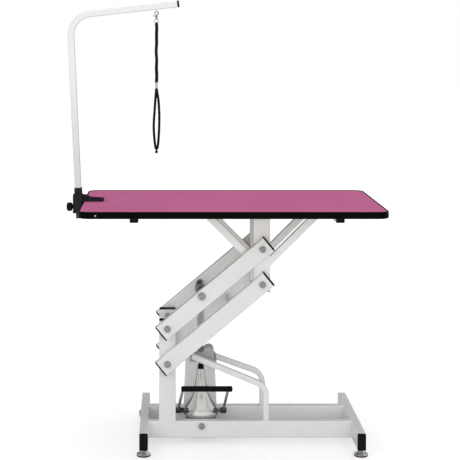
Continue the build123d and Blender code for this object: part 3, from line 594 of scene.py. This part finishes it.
# -------------------------------------------------------------- pump cover
c = centre("pump_cover")
lo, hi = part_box("pump_cover")
px, z0, z1 = c.x, lo.z, hi.z
outer = [(62, 80.5), (62, 84), (61.9, 88), (61.2, 92.5), (59.4, 98), (56.6, 104.5), (52.8, 110.5), (47.4, 118), (41.5, 127), (35.8, 137.5),
         (30.6, 149), (26.4, 162), (23.0, 176), (20.2, 191), (17.8, 206), (15.6, 221), (13.6, 235), (12.2, 246)]
prof = spline([(r, 0, z) for r, z in outer], 5)
prof = [(p.x / 1000, p.z / 1000) for p in prof]
lip = [(0.0616, 0.0801), (0.0612, 0.0797), (0.0604, 0.0797), (0.0602, 0.0803)]
inner = [(r - 0.0016, z) for r, z in prof[1:-1]][::-1]
prof_all = prof + [(0.0108, 0.2460)] + inner + lip[::-1]
cover = lathe("pump_cover_shell", prof_all, (px, 0, 0), "chrome", 96, "Z")
# clearance slots for the pedal shaft
cut = bpy.data.objects.new("cut", bpy.data.meshes.new("cut"))
bpy.context.scene.collection.objects.link(cut)
bm = bmesh.new()
for s in (-1, 1):
    mtx = Matrix.Translation((px + s * 0.045, -0.026, 0.099)) @ Matrix.Rotation(math.pi / 2, 4, "Y")
    bmesh.ops.create_cone(bm, segments=32, radius1=0.009, radius2=0.009, depth=0.05, cap_ends=True, matrix=mtx)
bm.to_mesh(cut.data)
bm.free()
mod = cover.modifiers.new("slots", "BOOLEAN")
mod.operation, mod.object, mod.solver = "DIFFERENCE", cut, "EXACT"
bpy.context.view_layer.update()
dg = bpy.context.evaluated_depsgraph_get()
me = bpy.data.meshes.new_from_object(cover.evaluated_get(dg))
cover.modifiers.clear()
cover.data = me
bpy.data.objects.remove(cut)
if not cover.data.materials:
    cover.data.materials.append(M["chrome"])
sharp(cover, 40)
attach(cover, "pump")
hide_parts("pump_cover")

# neck gland: rubber wiper with two lips
g = [(8.1, 246.2), (11.2, 246.2), (11.6, 247.2), (11.6, 249.0), (10.6, 250.0), (10.4, 253.5), (11.0, 254.3), (11.0, 255.8),
     (10.2, 256.6), (10.0, 260.0), (9.4, 262.8), (8.6, 263.8), (8.1, 263.8)]
gland = lathe("pump_neck_wiper", [(r / 1000, z / 1000) for r, z in g], (px, 0, 0), "rubber", 48, "Z")
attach(gland, "pump")
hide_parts("pump_gland")

# bottom rolled bead of the cover
bead = sweep("pump_cover_bead", [(px + 0.0618 * math.cos(a), 0.0618 * math.sin(a), 0.0817) for a in [2 * math.pi * k / 96 for k in range(96)]],
             lambda i, t: circle(0.0013, 10), "chrome", closed=True, up=(0, 0, 1))
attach(bead, "pump")

# ---------------------------------------------------------------- feet
for nm in ("front_left", "front_right", "rear_left", "rear_right"):
    lo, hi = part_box("foot_" + nm)
    fx, fy = (lo.x + hi.x) / 2, (lo.y + hi.y) / 2
    dish = [(0.0, 5.0), (22.6, 5.0), (24.2, 5.4), (24.9, 6.4), (24.6, 7.5), (22.8, 8.7), (18.5, 10.4), (14.0, 12.2), (11.0, 13.6), (10.0, 14.6), (0.0, 14.6)]
    d = lathe("foot_dish_" + nm, [(r / 1000, z / 1000) for r, z in dish], (fx, fy, 0), "nickel", 64, "Z")
    # hex collar
    hexa = []
    for z, f in ((14.5, 0.94), (15.2, 1.0), (20.2, 1.0), (20.9, 0.94)):
        hexa.append((z, f))
    verts, faces = [], []
    for z, f in hexa:
        for k in range(6):
            a = math.radians(60 * k + 30)
            verts.append((fx + 0.0095 * f * math.cos(a), fy + 0.0095 * f * math.sin(a), z / 1000))
    for i in range(3):
        for k in range(6):
            l = (k + 1) % 6
            faces.append((i * 6 + k, i * 6 + l, i * 6 + 6 + l, i * 6 + 6 + k))
    faces.append(tuple(range(6))[::-1])
    faces.append(tuple(18 + k for k in range(6)))
    h = obj("foot_hex_" + nm, verts, faces, "zinc", False, None)
    # threaded stud: helical ridge as geometry
    verts, faces = [], []
    segs, pitch, zt0, zt1 = 20, 1.5, 20.5, 51.5
    rows = int((zt1 - zt0) / pitch * 6)
    for i in range(rows + 1):
        for k in range(segs):
            a = 2 * math.pi * k / segs
            z = zt0 + (zt1 - zt0) * i / rows
            ph = (z / pitch - a / (2 * math.pi)) % 1.0
            r = 4.35 + 0.65 * (1 - abs(2 * ph - 1))
            verts.append((fx + r / 1000 * math.cos(a), fy + r / 1000 * math.sin(a), z / 1000))
    for i in range(rows):
        for k in range(segs):
            l = (k + 1) % segs
            faces.append((i * segs + k, i * segs + l, (i + 1) * segs + l, (i + 1) * segs + k))
    faces.append(tuple(range(segs))[::-1])
    faces.append(tuple(rows * segs + k for k in range(segs)))
    t = obj("foot_stud_" + nm, verts, faces, "zinc", True, None)
    pad = [(0.0, 0.0), (21.0, 0.0), (23.2, 0.5), (24.2, 1.6), (24.4, 3.2), (24.0, 4.6), (23.2, 5.0), (0.0, 5.0)]
    r = lathe("foot_rubber_" + nm, [(q / 1000, z / 1000) for q, z in pad], (fx, fy, 0), "rubber", 64, "Z",
              wave=lambda a, i: 1.0 + (0.008 * math.sin(24 * a) if 2 <= i <= 5 else 0.0))
    for o in (d, h, t, r):
        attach(o, "foot_" + nm + "_body")
    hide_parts("foot_" + nm)

# ------------------------------------------------------------- pedal sleeve
lo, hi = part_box("pedal_sleeve")
yb, zb = (lo.y + hi.y) / 2, (lo.z + hi.z) / 2
gx0, gx1 = lo.x, hi.x
L = gx1 - gx0
profile = []
N = 110
for i in range(N + 1):
    t = i / N
    x = L * t
    end = min(x, L - x)
    r = 10.0
    if end < 0.005:
        k = end / 0.005
        r = 10.0 * math.sqrt(max(0.0, 1 - (1 - k) ** 2)) * 0.55 + 10.0 * 0.45
    elif 0.009 < end:
        r = 9.75 + 0.25 * math.cos(2 * math.pi * x / 0.0042)
    profile.append((r / 1000, x))
prof = [(0.0, 0.0)] + profile + [(0.0, L)]
sleeve = lathe("pedal_grip_sleeve", prof, (gx0, yb, zb), "rubber", 48, "X")
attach(sleeve, "pedal")
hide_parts("pedal_sleeve")

# torsion spring round the pedal shaft, inside the left hub
lo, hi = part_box("pedal_hubs")
hubl = lo.x + 0.020
pts = []
turns = 4.5
for i in range(int(turns * 20) + 1):
    a = 2 * math.pi * i / 20
    pts.append((hubl + 0.0012 + 0.0019 * i / 20, -0.026 + 0.0088 * math.cos(a), 0.099 + 0.0088 * math.sin(a)))
pts = [(hubl + 0.0012, -0.026 + 0.024, 0.099 - 0.010)] + [(hubl + 0.0012, -0.026 + 0.013, 0.099 - 0.004)] + pts
spring = sweep("pedal_return_spring", pts, lambda i, t: circle(0.00085, 8), "dark")
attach(spring, "pump")

# ------------------------------------------------------------------- noose
lo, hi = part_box("noose_strap")
ex = (lo.x + hi.x) / 2
ring_lo, ring_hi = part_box("snap_ring")
rz = (ring_hi.x - ring_lo.x) / 2 - 0.0015
ring_c = Vector((ex, 0, ring_lo.z + 0.0093))
top = ring_c.z - 0.0078 - 0.0015
# strap: flat webbing, doubled over the ring at the top, gently wavy
pts = []
zt, zb2 = top + 0.0008, 1.3035
K = 46
for i in range(K + 1):
    t = i / K
    z = zt + (zb2 - zt) * t
    w = 0.0009 * math.sin(t * 9.0 + 0.4) * math.sin(math.pi * min(1, t * 1.4)) + 0.0005 * math.sin(t * 23)
    pts.append((ex + w + 0.0005 * t, 0.0, z))
strap = sweep("noose_webbing", pts, lambda i, t: rounded(0.0034, 0.0116 + 0.0004 * math.sin(9 * t), 0.0015, 3), "nylon",
              up=(0, 1, 0), twist=lambda t: 0.18 * math.sin(t * 7))
# fold over the ring
arc = [(ex, 0.0038 * math.cos(a), ring_c.z - 0.0078 + 0.0032 * math.sin(a)) for a in [math.pi * k / 10 for k in range(11)]]
fold = [(ex, 0.0036, top - 0.034), (ex, 0.0036, top - 0.018), (ex, 0.0037, top - 0.006)] + arc + [(ex, -0.0036, top - 0.006), (ex, -0.0036, top - 0.018), (ex, -0.0036, top - 0.034)]
fold = sweep("noose_webbing_fold", spline(fold, 4), lambda i, t: rounded(0.0020, 0.0088, 0.0009, 3), "nylon", up=(0, 1, 0))
tacks = []
for zz in (0.010, 0.013, 0.016, 0.027, 0.030):
    for sgn in (-1, 1):
        p = [(ex - 0.0040 + 0.0008 * k, sgn * (0.0046 + (0.0002 if k % 2 else 0)), top - zz) for k in range(11)]
        tacks.append(sweep("tack", p, lambda i, t: circle(0.00035, 6), "thread", up=(0, 0, 1)))
tack = join("noose_bar_tacks", tacks)
# sliding lock: pressed metal slide, wider towards its two rolled ends and narrower in the middle
lo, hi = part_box("noose_lock")
lz0, lz1 = lo.z, hi.z
frame_pts = []
body = sweep("noose_slide_lock", [(ex, 0, lz1 - 0.0003), (ex, 0, lz1 - 0.002), (ex, 0, (lz0 + lz1) / 2 + 0.003), (ex, 0, (lz0 + lz1) / 2 - 0.003), (ex, 0, lz0 + 0.002), (ex, 0, lz0 + 0.0003)],
             lambda i, t: rounded(0.0060 if i in (0, 5) else 0.0078 if i in (1, 4) else 0.0062, 0.0096 if i in (0, 5) else 0.0108 if i in (1, 4) else 0.0080, 0.0022, 4),
             "nickel", up=(0, 1, 0))
# loop: one cord hanging from the lock and back
lp = [(0.0010, 1.2800), (0.0030, 1.2650), (0.0072, 1.2380), (0.0098, 1.2000), (0.0104, 1.1600), (0.0090, 1.1180), (0.0068, 1.0850), (0.0044, 1.0660),
      (0.0000, 1.0570), (-0.0038, 1.0650), (-0.0068, 1.0860), (-0.0098, 1.1250), (-0.0098, 1.1560), (-0.0072, 1.1950), (-0.0042, 1.2380), (-0.0020, 1.2650), (-0.0010, 1.2800)]
loop_pts = spline([(ex + x, 0.0006 * math.sin(40 * z), z) for x, z in lp], 7)
loop = sweep("noose_loop_cord", loop_pts, lambda i, t: [((0.0036 + 0.00012 * math.sin(i * 1.7)) * a, (0.0047 + 0.00012 * math.sin(i * 1.7)) * b) for a, b in circle(1.0, 14)], "nylon",
             up=(0, 1, 0))
whip = sweep("noose_whipping", [(ex, 0, 1.2812), (ex, 0, 1.2800), (ex, 0, 1.2760), (ex, 0, 1.2720), (ex, 0, 1.2708)], lambda i, t: [(a * (0.6 if i in (0, 4) else 1.0), b * (0.6 if i in (0, 4) else 1.0)) for a, b in rounded(0.0070, 0.0078, 0.0030, 4)], "thread",
             up=(0, 1, 0))
# stop bead: turned ball with a flattened neck
bd = [(0.0, -5.8), (2.0, -5.5), (3.9, -4.4), (5.2, -2.6), (5.75, -0.2), (5.3, 2.2), (4.1, 4.0), (3.0, 4.9), (2.6, 5.8), (0.0, 5.8)]
bc = centre("noose_bead")
beadp = lathe("noose_stop_bead", [(r / 1000, z / 1000) for r, z in bd], bc, "plastic", 32, "Z")
for o in (strap, fold, tack, body, loop, whip, beadp):
    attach(o, "noose")
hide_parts("noose_strap")
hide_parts("noose_lock")
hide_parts("noose_loop")
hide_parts("noose_bead")

# ring under the snap
rp = [(ring_c.x + 0.0078 * math.cos(a), 0.0, ring_c.z + 0.0078 * math.sin(a)) for a in [2 * math.pi * k / 48 for k in range(48)]]
ring = sweep("snap_wire_ring", rp, lambda i, t: circle(0.00125, 12), "nickel", closed=True, up=(0, 1, 0))
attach(ring, "noose")
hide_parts("snap_ring")

# snap hook: turned swivel barrel, claw, gate and thumb lever
lo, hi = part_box("snap_hook")
ht = hi.z
hx = ex
hz = ht - 0.0079  # centre of the claw
pts = []
for k in range(31):
    a = math.radians(-90 + 318 * k / 30)
    pts.append((hx + 0.0064 * math.cos(a), 0.0, hz + 0.0064 * math.sin(a)))
claw = sweep("snap_claw", pts, lambda i, t: circle(0.0021 - 0.0007 * t, 12), "aged", up=(0, 1, 0))
gate = sweep("snap_gate", [(hx - 0.0062, 0, hz + 0.0012), (hx - 0.0060, 0, hz - 0.0022), (hx - 0.0046, 0, hz - 0.0052), (hx - 0.0030, 0, hz - 0.0078)],
             lambda i, t: rounded(0.0020, 0.0024, 0.0007, 2), "aged", up=(0, 1, 0))
lever = sweep("snap_lever", [(hx - 0.0020, 0, ht - 0.0186), (hx - 0.0060, 0, ht - 0.0187), (hx - 0.0105, 0, ht - 0.0184), (hx - 0.0138, 0, ht - 0.0180)],
              lambda i, t: circle((0.0014, 0.0013, 0.0013, 0.0019)[i], 10), "aged", up=(0, 1, 0))
bz = lo.z
b = [(0.0, 0.0), (3.6, 0.0), (4.2, 0.5), (4.2, 2.2), (3.2, 3.2), (2.6, 4.2), (2.6, 5.4), (3.6, 6.4), (4.0, 8.0), (3.9, 11.0), (3.3, 13.4), (2.4, 15.4), (0.0, 16.2)]
barrel = lathe("snap_barrel", [(r / 1000, z / 1000) for r, z in b], (hx, 0, bz), "aged", 32, "Z")
for o in (claw, gate, lever, barrel):
    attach(o, "hook")
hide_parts("snap_hook")

# --------------------------------------------------------------- clamp knob
lo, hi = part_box("clamp_knob")
kc = Vector((0, 0.0, 0.844))
kp = [(0.0, 0.0), (8.2, 0.0), (11.9, 1.3), (14.5, 4.2), (15.2, 7.6), (15.2, 14.6), (14.5, 18.0), (12.2, 20.4), (9.6, 21.4), (8.4, 21.9), (7.9, 22.4), (7.7, 23.6), (0.0, 23.6)]


def lobes(a, i):
    amount = (0, 0.02, 0.055, 0.075, 0.085, 0.085, 0.075, 0.05, 0.02, 0, 0, 0, 0)[i]
    return 1.0 + amount * math.cos(7 * a)


knob = lathe("clamp_star_knob", [(r / 1000, z / 1000) for r, z in kp], (lo.x, kc.y, kc.z), "plastic", 112, "X", wave=lobes)
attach(knob, "knob")
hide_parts("clamp_knob")

# hex socket screws on the clamp
clo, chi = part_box("clamp_body")
bits = []
for x, y in ((clo.x + 0.060, -0.013), (clo.x + 0.060, 0.013)):
    sp = [(0.0, 0.0), (2.2, 0.0), (2.2, 1.6), (3.6, 1.9), (4.2, 1.4), (4.4, 0.4), (4.4, -0.2), (0.0, -0.2)]
    bits.append(lathe("clamp_cap_screw", [(r / 1000, z / 1000) for r, z in sp], (x, y, 0.8752), "dark", 24, "Z"))
cs = join("clamp_cap_screws", bits)
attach(cs, "table")

# ------------------------------------------ lock nut collars on the pivot bolts
def collar(x, y, z, sgn, k, nm):
    """Rounded lock-nut collar with the bolt end showing inside it."""
    cp = [(9.3, -0.5), (9.2, 0.2), (8.9, 1.5), (7.9, 2.6), (6.6, 2.9), (5.9, 2.4), (5.6, 1.2), (5.4, 0.3), (5.0, 0.3), (4.8, 1.1), (4.3, 1.6), (0.0, 1.7), (0.0, -0.5)]
    o = lathe(nm, [(r * k / 1000, h / 1000) for r, h in cp], (0, 0, 0), "zinc", 36, "Z")
    o.data.transform(Matrix.Translation((x, y, z)) @ Matrix.Rotation(-sgn * math.pi / 2, 4, "X"))
    return o


PIVOTS = {"base_pivot_bolts": [(-229.5, 297.5), (-229.5, 424.0)], "column_pivot_bolts": [(111.89, 582.94), (111.89, 709.44)],
          "ram_pin": [(-106.14, 541.49)], "pump_trunnion_bolts": [(-106.14, 66.0)]}
for nm, spots in PIVOTS.items():
    lo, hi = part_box(nm)
    done = []
    for x, z in spots:
        for sgn, y in ((-1, lo.y), (1, hi.y)):
            done.append(collar(x / 1000 + 0.031, y, z / 1000, sgn, 1.0, nm + "_collar"))
    cl = join(nm + "_lock_collars", done)
    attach(cl, body_of(NODES[nm])[0])

# ---------------------------------------------------- domed heads of the arm plugs
def plug_head(origin, axis, up, a, b, t=0.0048, r=0.003):
    """Rounded, slightly domed head with a raised rim, for a tube of a (along up) x b, growing along axis."""
    side = axis.cross(up).normalized()
    rings = [(0.0, -0.0006), (0.0, 0.0), (0.0006, 0.0004), (0.0006, t - 0.0012), (0.0001, t - 0.0004), (-0.0008, t), (-0.0022, t),
             (-0.0030, t - 0.0005), (-0.0042, t - 0.0004), (-0.0075, t + 0.0001)]
    verts, faces = [], []
    n = 0
    for off, h in rings:
        loop = rounded(a + 2 * off, b + 2 * off, max(0.0006, r + off), 4)
        n = len(loop)
        verts += [origin + up * p[0] + side * p[1] + axis * h for p in loop]
    for k in range(len(rings) - 1):
        for i in range(n):
            j = (i + 1) % n
            faces.append((k * n + i, k * n + j, (k + 1) * n + j, (k + 1) * n + i))
    faces.append(tuple(range(n))[::-1])
    faces.append(tuple((len(rings) - 1) * n + i for i in range(n)))
    return verts, faces


for level in ("upper", "lower"):
    node = NODES[level + "_arm_caps"]
    pts = [node.matrix_world @ v.co for v in node.data.vertices]
    ang_a = math.atan2(709.44 - 424.0, 111.89 + 229.5)
    ax = Vector((math.cos(ang_a), 0, math.sin(ang_a)))
    upv = Vector((-math.sin(ang_a), 0, math.cos(ang_a)))
    heads = []
    for sy in (-1, 1):
        mine = [p for p in pts if p.y * sy > 0]
        for sx in (-1, 1):
            far = max(sx * p.dot(ax) for p in mine)
            end = [p for p in mine if far - sx * p.dot(ax) < 0.02]
            u = [p.dot(upv) for p in end]
            w = [p.y for p in end]
            org = ax * (sx * (far - 0.0030)) + upv * ((min(u) + max(u)) / 2) + Vector((0, (min(w) + max(w)) / 2, 0))
            vs, fs = plug_head(org, ax * sx, upv, max(u) - min(u), max(w) - min(w))
            heads.append(obj("plug_head", vs, fs, "plastic"))
    for h in heads:
        sharp(h, 40.0)
    head = join(level + "_arm_plug_heads", heads)
    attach(head, body_of(node)[0])

node = NODES["grooming_arm_cap"]
pts = [node.matrix_world @ v.co for v in node.data.vertices]
ax = Vector((1, 0, 0.112)).normalized()
upv = Vector((-0.112, 0, 1)).normalized()
far = max(p.dot(ax) for p in pts)
end = [p for p in pts if far - p.dot(ax) < 0.004]
u = [p.dot(upv) for p in end]
w = [p.y for p in end]
vs, fs = plug_head(ax * (far - 0.0030) + upv * ((min(u) + max(u)) / 2) + Vector((0, (min(w) + max(w)) / 2, 0)), ax, upv, max(u) - min(u), max(w) - min(w), t=0.0070)
tip = sharp(obj("grooming_arm_plug_head", vs, fs, "plastic"), 40.0)
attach(tip, "arm")

# raised lip of the edge moulding, all round the sheet
elo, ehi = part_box("tabletop_edge")
lip_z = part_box("tabletop_surface")[1].z - 0.0004
inset, rr = 0.0030, 0.037
outline = []
for cx, cy, a0 in ((ehi.x - inset - rr, ehi.y - inset - rr, 0), (elo.x + inset + rr, ehi.y - inset - rr, 90),
                   (elo.x + inset + rr, elo.y + inset + rr, 180), (ehi.x - inset - rr, elo.y + inset + rr, 270)):
    for k in range(15):
        a = math.radians(a0 + 90 * k / 14)
        outline.append((cx + rr * math.cos(a), cy + rr * math.sin(a), lip_z))
lip = sweep("edge_moulding_lip", outline, lambda i, t: circle(0.0026, 12), "trim", closed=True, up=(0, 0, 1))
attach(lip, "table")

# ------------------------------------------------------------- weld beads
def weld(points, closed=False, r=0.0021):
    """A rippled weld bead along a path."""
    pts = [Vector(p) for p in points]
    dense = []
    seq = list(zip(pts, pts[1:] + ([pts[0]] if closed else [])))
    if not closed:
        seq = list(zip(pts, pts[1:]))
    for a, b in seq:
        n = max(2, int((b - a).length / 0.0011))
        for k in range(n):
            dense.append(a.lerp(b, k / n))
    if not closed:
        dense.append(pts[-1])
    total = len(dense)

    def prof(i, t):
        e = min(1.0, min(i, total - 1 - i) / 2.5 + 0.35) if not closed else 1.0
        k = r * e * (1.0 + 0.16 * math.sin(i * 2 * math.pi / 3.0) + random.uniform(-0.07, 0.07))
        return circle(k, 8)

    return sweep("weld", dense, prof, "white", closed=closed)


OX = 0.031


def X(v):
    return v / 1000 + OX


base_welds, table_welds, arm_welds = [], [], []
H = 0.084
for s in (-1, 1):
    y0, y1 = s * 0.0765, s * 0.1065
    for x in (-259.5, -199.5):
        base_welds.append(weld([(X(x), y0, H), (X(x), y1, H)]))
    # rails to beams
    for x in (-298.0, 435.0):
        for y in (y0, y1):
            base_welds.append(weld([(X(x), y, 0.028), (X(x), y, 0.082)]))
        base_welds.append(weld([(X(x), y0, H - 0.0004), (X(x), y1, H - 0.0004)], r=0.0017))
    # guard bar feet
    gy = s * 0.0865
    q = [(X(118), gy - 0.010, H), (X(138), gy - 0.010, H), (X(138), gy + 0.010, H), (X(118), gy + 0.010, H)]
    base_welds.append(weld(q, closed=True, r=0.0018))
    # column to subframe
    zs = 0.8176
    lo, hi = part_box("columns")
    zs = hi.z
    for x in (lo.x, hi.x):
        table_welds.append(weld([(x, y0, zs), (x, y1, zs)], r=0.0019))
    # longitudinal tubes to the cross tubes
    for x in (-332.0, 363.0):
        for y in (y0, y1):
            table_welds.append(weld([(X(x), y, zs + 0.003), (X(x), y, zs + 0.022)], r=0.0016))
    # braces
    ce = (lo.x + hi.x) / 2
    bw2 = 0.0125 * math.sqrt(2)
    for sx in (-1, 1):
        xc = ce + sx * 0.030
        for dz in (-bw2, bw2):
            table_welds.append(weld([(xc, s * 0.0915 - 0.0125, 0.660 + dz), (xc, s * 0.0915 + 0.0125, 0.660 + dz)], r=0.0016))
        run = zs - 0.660
        for dz in (-bw2, bw2):
            xt = xc + sx * (run + dz)
            table_welds.append(weld([(xt, s * 0.0915 - 0.0125, zs), (xt, s * 0.0915 + 0.0125, zs)], r=0.0016))
bw = join("base_weld_beads", base_welds)
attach(bw, "base")
tw = join("table_weld_beads", table_welds)
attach(tw, "table")

# ------------------------------------------------------------- set dressing
me = bpy.data.meshes.new("floor")
S = 30.0
me.from_pydata([(-S, -S, 0), (S, -S, 0), (S, S, 0), (-S, S, 0)], [], [(0, 1, 2, 3)])
floor = bpy.data.objects.new("floor", me)
bpy.context.scene.collection.objects.link(floor)
fm = bpy.data.materials.new("pale_floor")
fm.use_nodes = True
fb = fm.node_tree.nodes["Principled BSDF"]
fb.inputs["Base Color"].default_value = (0.62, 0.62, 0.62, 1)
fb.inputs["Roughness"].default_value = 0.75
fb.inputs["Specular IOR Level"].default_value = 0.1
fb.inputs["Emission Color"].default_value = (1, 1, 1, 1)
fn = fm.node_tree
lpf = fn.nodes.new("ShaderNodeLightPath")
est = fn.nodes.new("ShaderNodeMath")
est.operation = "MULTIPLY"
# less of it close to the table, so that the soft shadow under the base stays visible
gpos = fn.nodes.new("ShaderNodeNewGeometry")
gdist = fn.nodes.new("ShaderNodeVectorMath")
gdist.operation = "DISTANCE"
gdist.inputs[1].default_value = (0.08, 0.0, 0.0)
fn.links.new(gpos.outputs["Position"], gdist.inputs[0])
gmap = fn.nodes.new("ShaderNodeMapRange")
gmap.interpolation_type = "SMOOTHSTEP"
gmap.inputs["From Min"].default_value = 0.45
gmap.inputs["From Max"].default_value = 1.6
gmap.inputs["To Min"].default_value = 0.50
gmap.inputs["To Max"].default_value = 0.61
fn.links.new(gdist.outputs["Value"], gmap.inputs["Value"])
fn.links.new(gmap.outputs["Result"], est.inputs[1])
fn.links.new(lpf.outputs["Is Camera Ray"], est.inputs[0])
fn.links.new(est.outputs[0], fb.inputs["Emission Strength"])
me.materials.append(fm)

world = bpy.data.worlds.new("studio")
bpy.context.scene.world = world
world.use_nodes = True
wn = world.node_tree
wn.nodes.clear()
wout = wn.nodes.new("ShaderNodeOutputWorld")
lp = wn.nodes.new("ShaderNodeLightPath")
tcw = wn.nodes.new("ShaderNodeTexCoord")
sepw = wn.nodes.new("ShaderNodeSeparateXYZ")
wn.links.new(tcw.outputs["Generated"], sepw.inputs[0])


def wnode(op, a, b=0.0, c=None):
    x = wn.nodes.new("ShaderNodeMath")
    x.operation = op
    for i, v in enumerate((a, b) if c is None else (a, b, c)):
        if hasattr(v, "links"):
            wn.links.new(v, x.inputs[i])
        else:
            x.inputs[i].default_value = v
    return x.outputs[0]


def wramp(fac, stops):
    r = wn.nodes.new("ShaderNodeValToRGB")
    els = r.color_ramp.elements
    while len(els) < len(stops):
        els.new(0.5)
    for e, (p, c) in zip(els, stops):
        e.position = p
        e.color = (c, c, c, 1)
    wn.links.new(fac, r.inputs[0])
    return r.outputs[0]


def bgnode(color, strength):
    b = wn.nodes.new("ShaderNodeBackground")
    if hasattr(color, "links"):
        wn.links.new(color, b.inputs[0])
    else:
        b.inputs[0].default_value = (color, color, color, 1)
    b.inputs[1].default_value = strength
    return b.outputs[0]


# diffuse light is even from all round; mirror light: bright front panels with dark gaps between them and dark behind, as a light tent has
ang = wnode("ARCTAN2", sepw.outputs[0], wnode("MULTIPLY", sepw.outputs[1], -1.0))
a01 = wnode("MULTIPLY_ADD", ang, 1 / (2 * math.pi), 0.5)
panels = wramp(a01, [(0.00, 0.03), (0.060, 0.02), (0.09, 0.60), (0.17, 0.56), (0.30, 0.46), (0.345, 0.42), (0.372, 0.80), (0.48, 0.74),
                     (0.60, 0.70), (0.675, 0.66), (0.70, 0.60), (0.80, 0.64), (0.90, 0.70), (0.935, 0.03), (1.0, 0.03)])
diffuse = bgnode(1.0, 0.73)
glossy = bgnode(panels, 0.95)
camera_bg = bgnode(1.0, 1.0)
m1 = wn.nodes.new("ShaderNodeMixShader")
wn.links.new(lp.outputs["Is Glossy Ray"], m1.inputs[0])
wn.links.new(diffuse, m1.inputs[1])
wn.links.new(glossy, m1.inputs[2])
m2 = wn.nodes.new("ShaderNodeMixShader")
wn.links.new(lp.outputs["Is Camera Ray"], m2.inputs[0])
wn.links.new(m1.outputs[0], m2.inputs[1])
wn.links.new(camera_bg, m2.inputs[2])
wn.links.new(m2.outputs[0], wout.inputs[0])


def area(name, loc, target, size, power, color=(1, 1, 1)):
    l = bpy.data.lights.new(name, "AREA")
    l.shape = "RECTANGLE"
    l.size, l.size_y = size
    l.energy = power
    l.color = color
    o = bpy.data.objects.new(name, l)
    bpy.context.scene.collection.objects.link(o)
    o.location = loc
    d = Vector(target) - Vector(loc)
    o.rotation_euler = d.to_track_quat("-Z", "Y").to_euler()
    o.visible_glossy = False
    return o


area("front", (0.1, -4.6, 1.0), (0, 0, 0.55), (2.6, 1.8), 40)
area("key", (-2.6, -3.2, 2.6), (0, 0, 0.7), (2.0, 2.0), 29)
area("fill", (3.2, -2.6, 1.8), (0, 0, 0.6), (1.6, 2.2), 11)
area("top", (0.3, 0.4, 4.4), (0.1, 0, 0.8), (2.4, 2.0), 38)

# ----------------------------------------------------------------- camera
cam = bpy.data.cameras.new("camera")
co = bpy.data.objects.new("camera", cam)
bpy.context.scene.collection.objects.link(co)
CX, CY, CZ = X(-227.4), -4.427, 1.460
co.location = (CX, CY, CZ)
co.rotation_euler = (math.pi / 2, 0, 0)
cam.sensor_width = 36.0
cam.lens = 1197.0 / 460.0 * 36.0
cam.clip_end = 200.0
# the lens shift belongs to the front view only, so it switches off when the camera is moved elsewhere
for prop, val in (("shift_x", (230 - 168) / 460.0), ("shift_y", -(230 - 40) / 460.0)):
    d = cam.driver_add(prop).driver
    d.type = "SCRIPTED"
    for nm, ch in (("x", "LOC_X"), ("y", "LOC_Y"), ("z", "LOC_Z")):
        v = d.variables.new()
        v.name = nm
        v.type = "TRANSFORMS"
        v.targets[0].id = co
        v.targets[0].transform_type = ch
        v.targets[0].transform_space = "WORLD_SPACE"
    d.expression = "%.6f if abs(x-(%.5f))+abs(y-(%.5f))+abs(z-(%.5f)) < 0.002 else 0.0" % (val, CX, CY, CZ)
bpy.context.scene.camera = co
bpy.context.scene.view_settings.view_transform = "Standard"
bpy.context.scene.view_settings.look = "None"
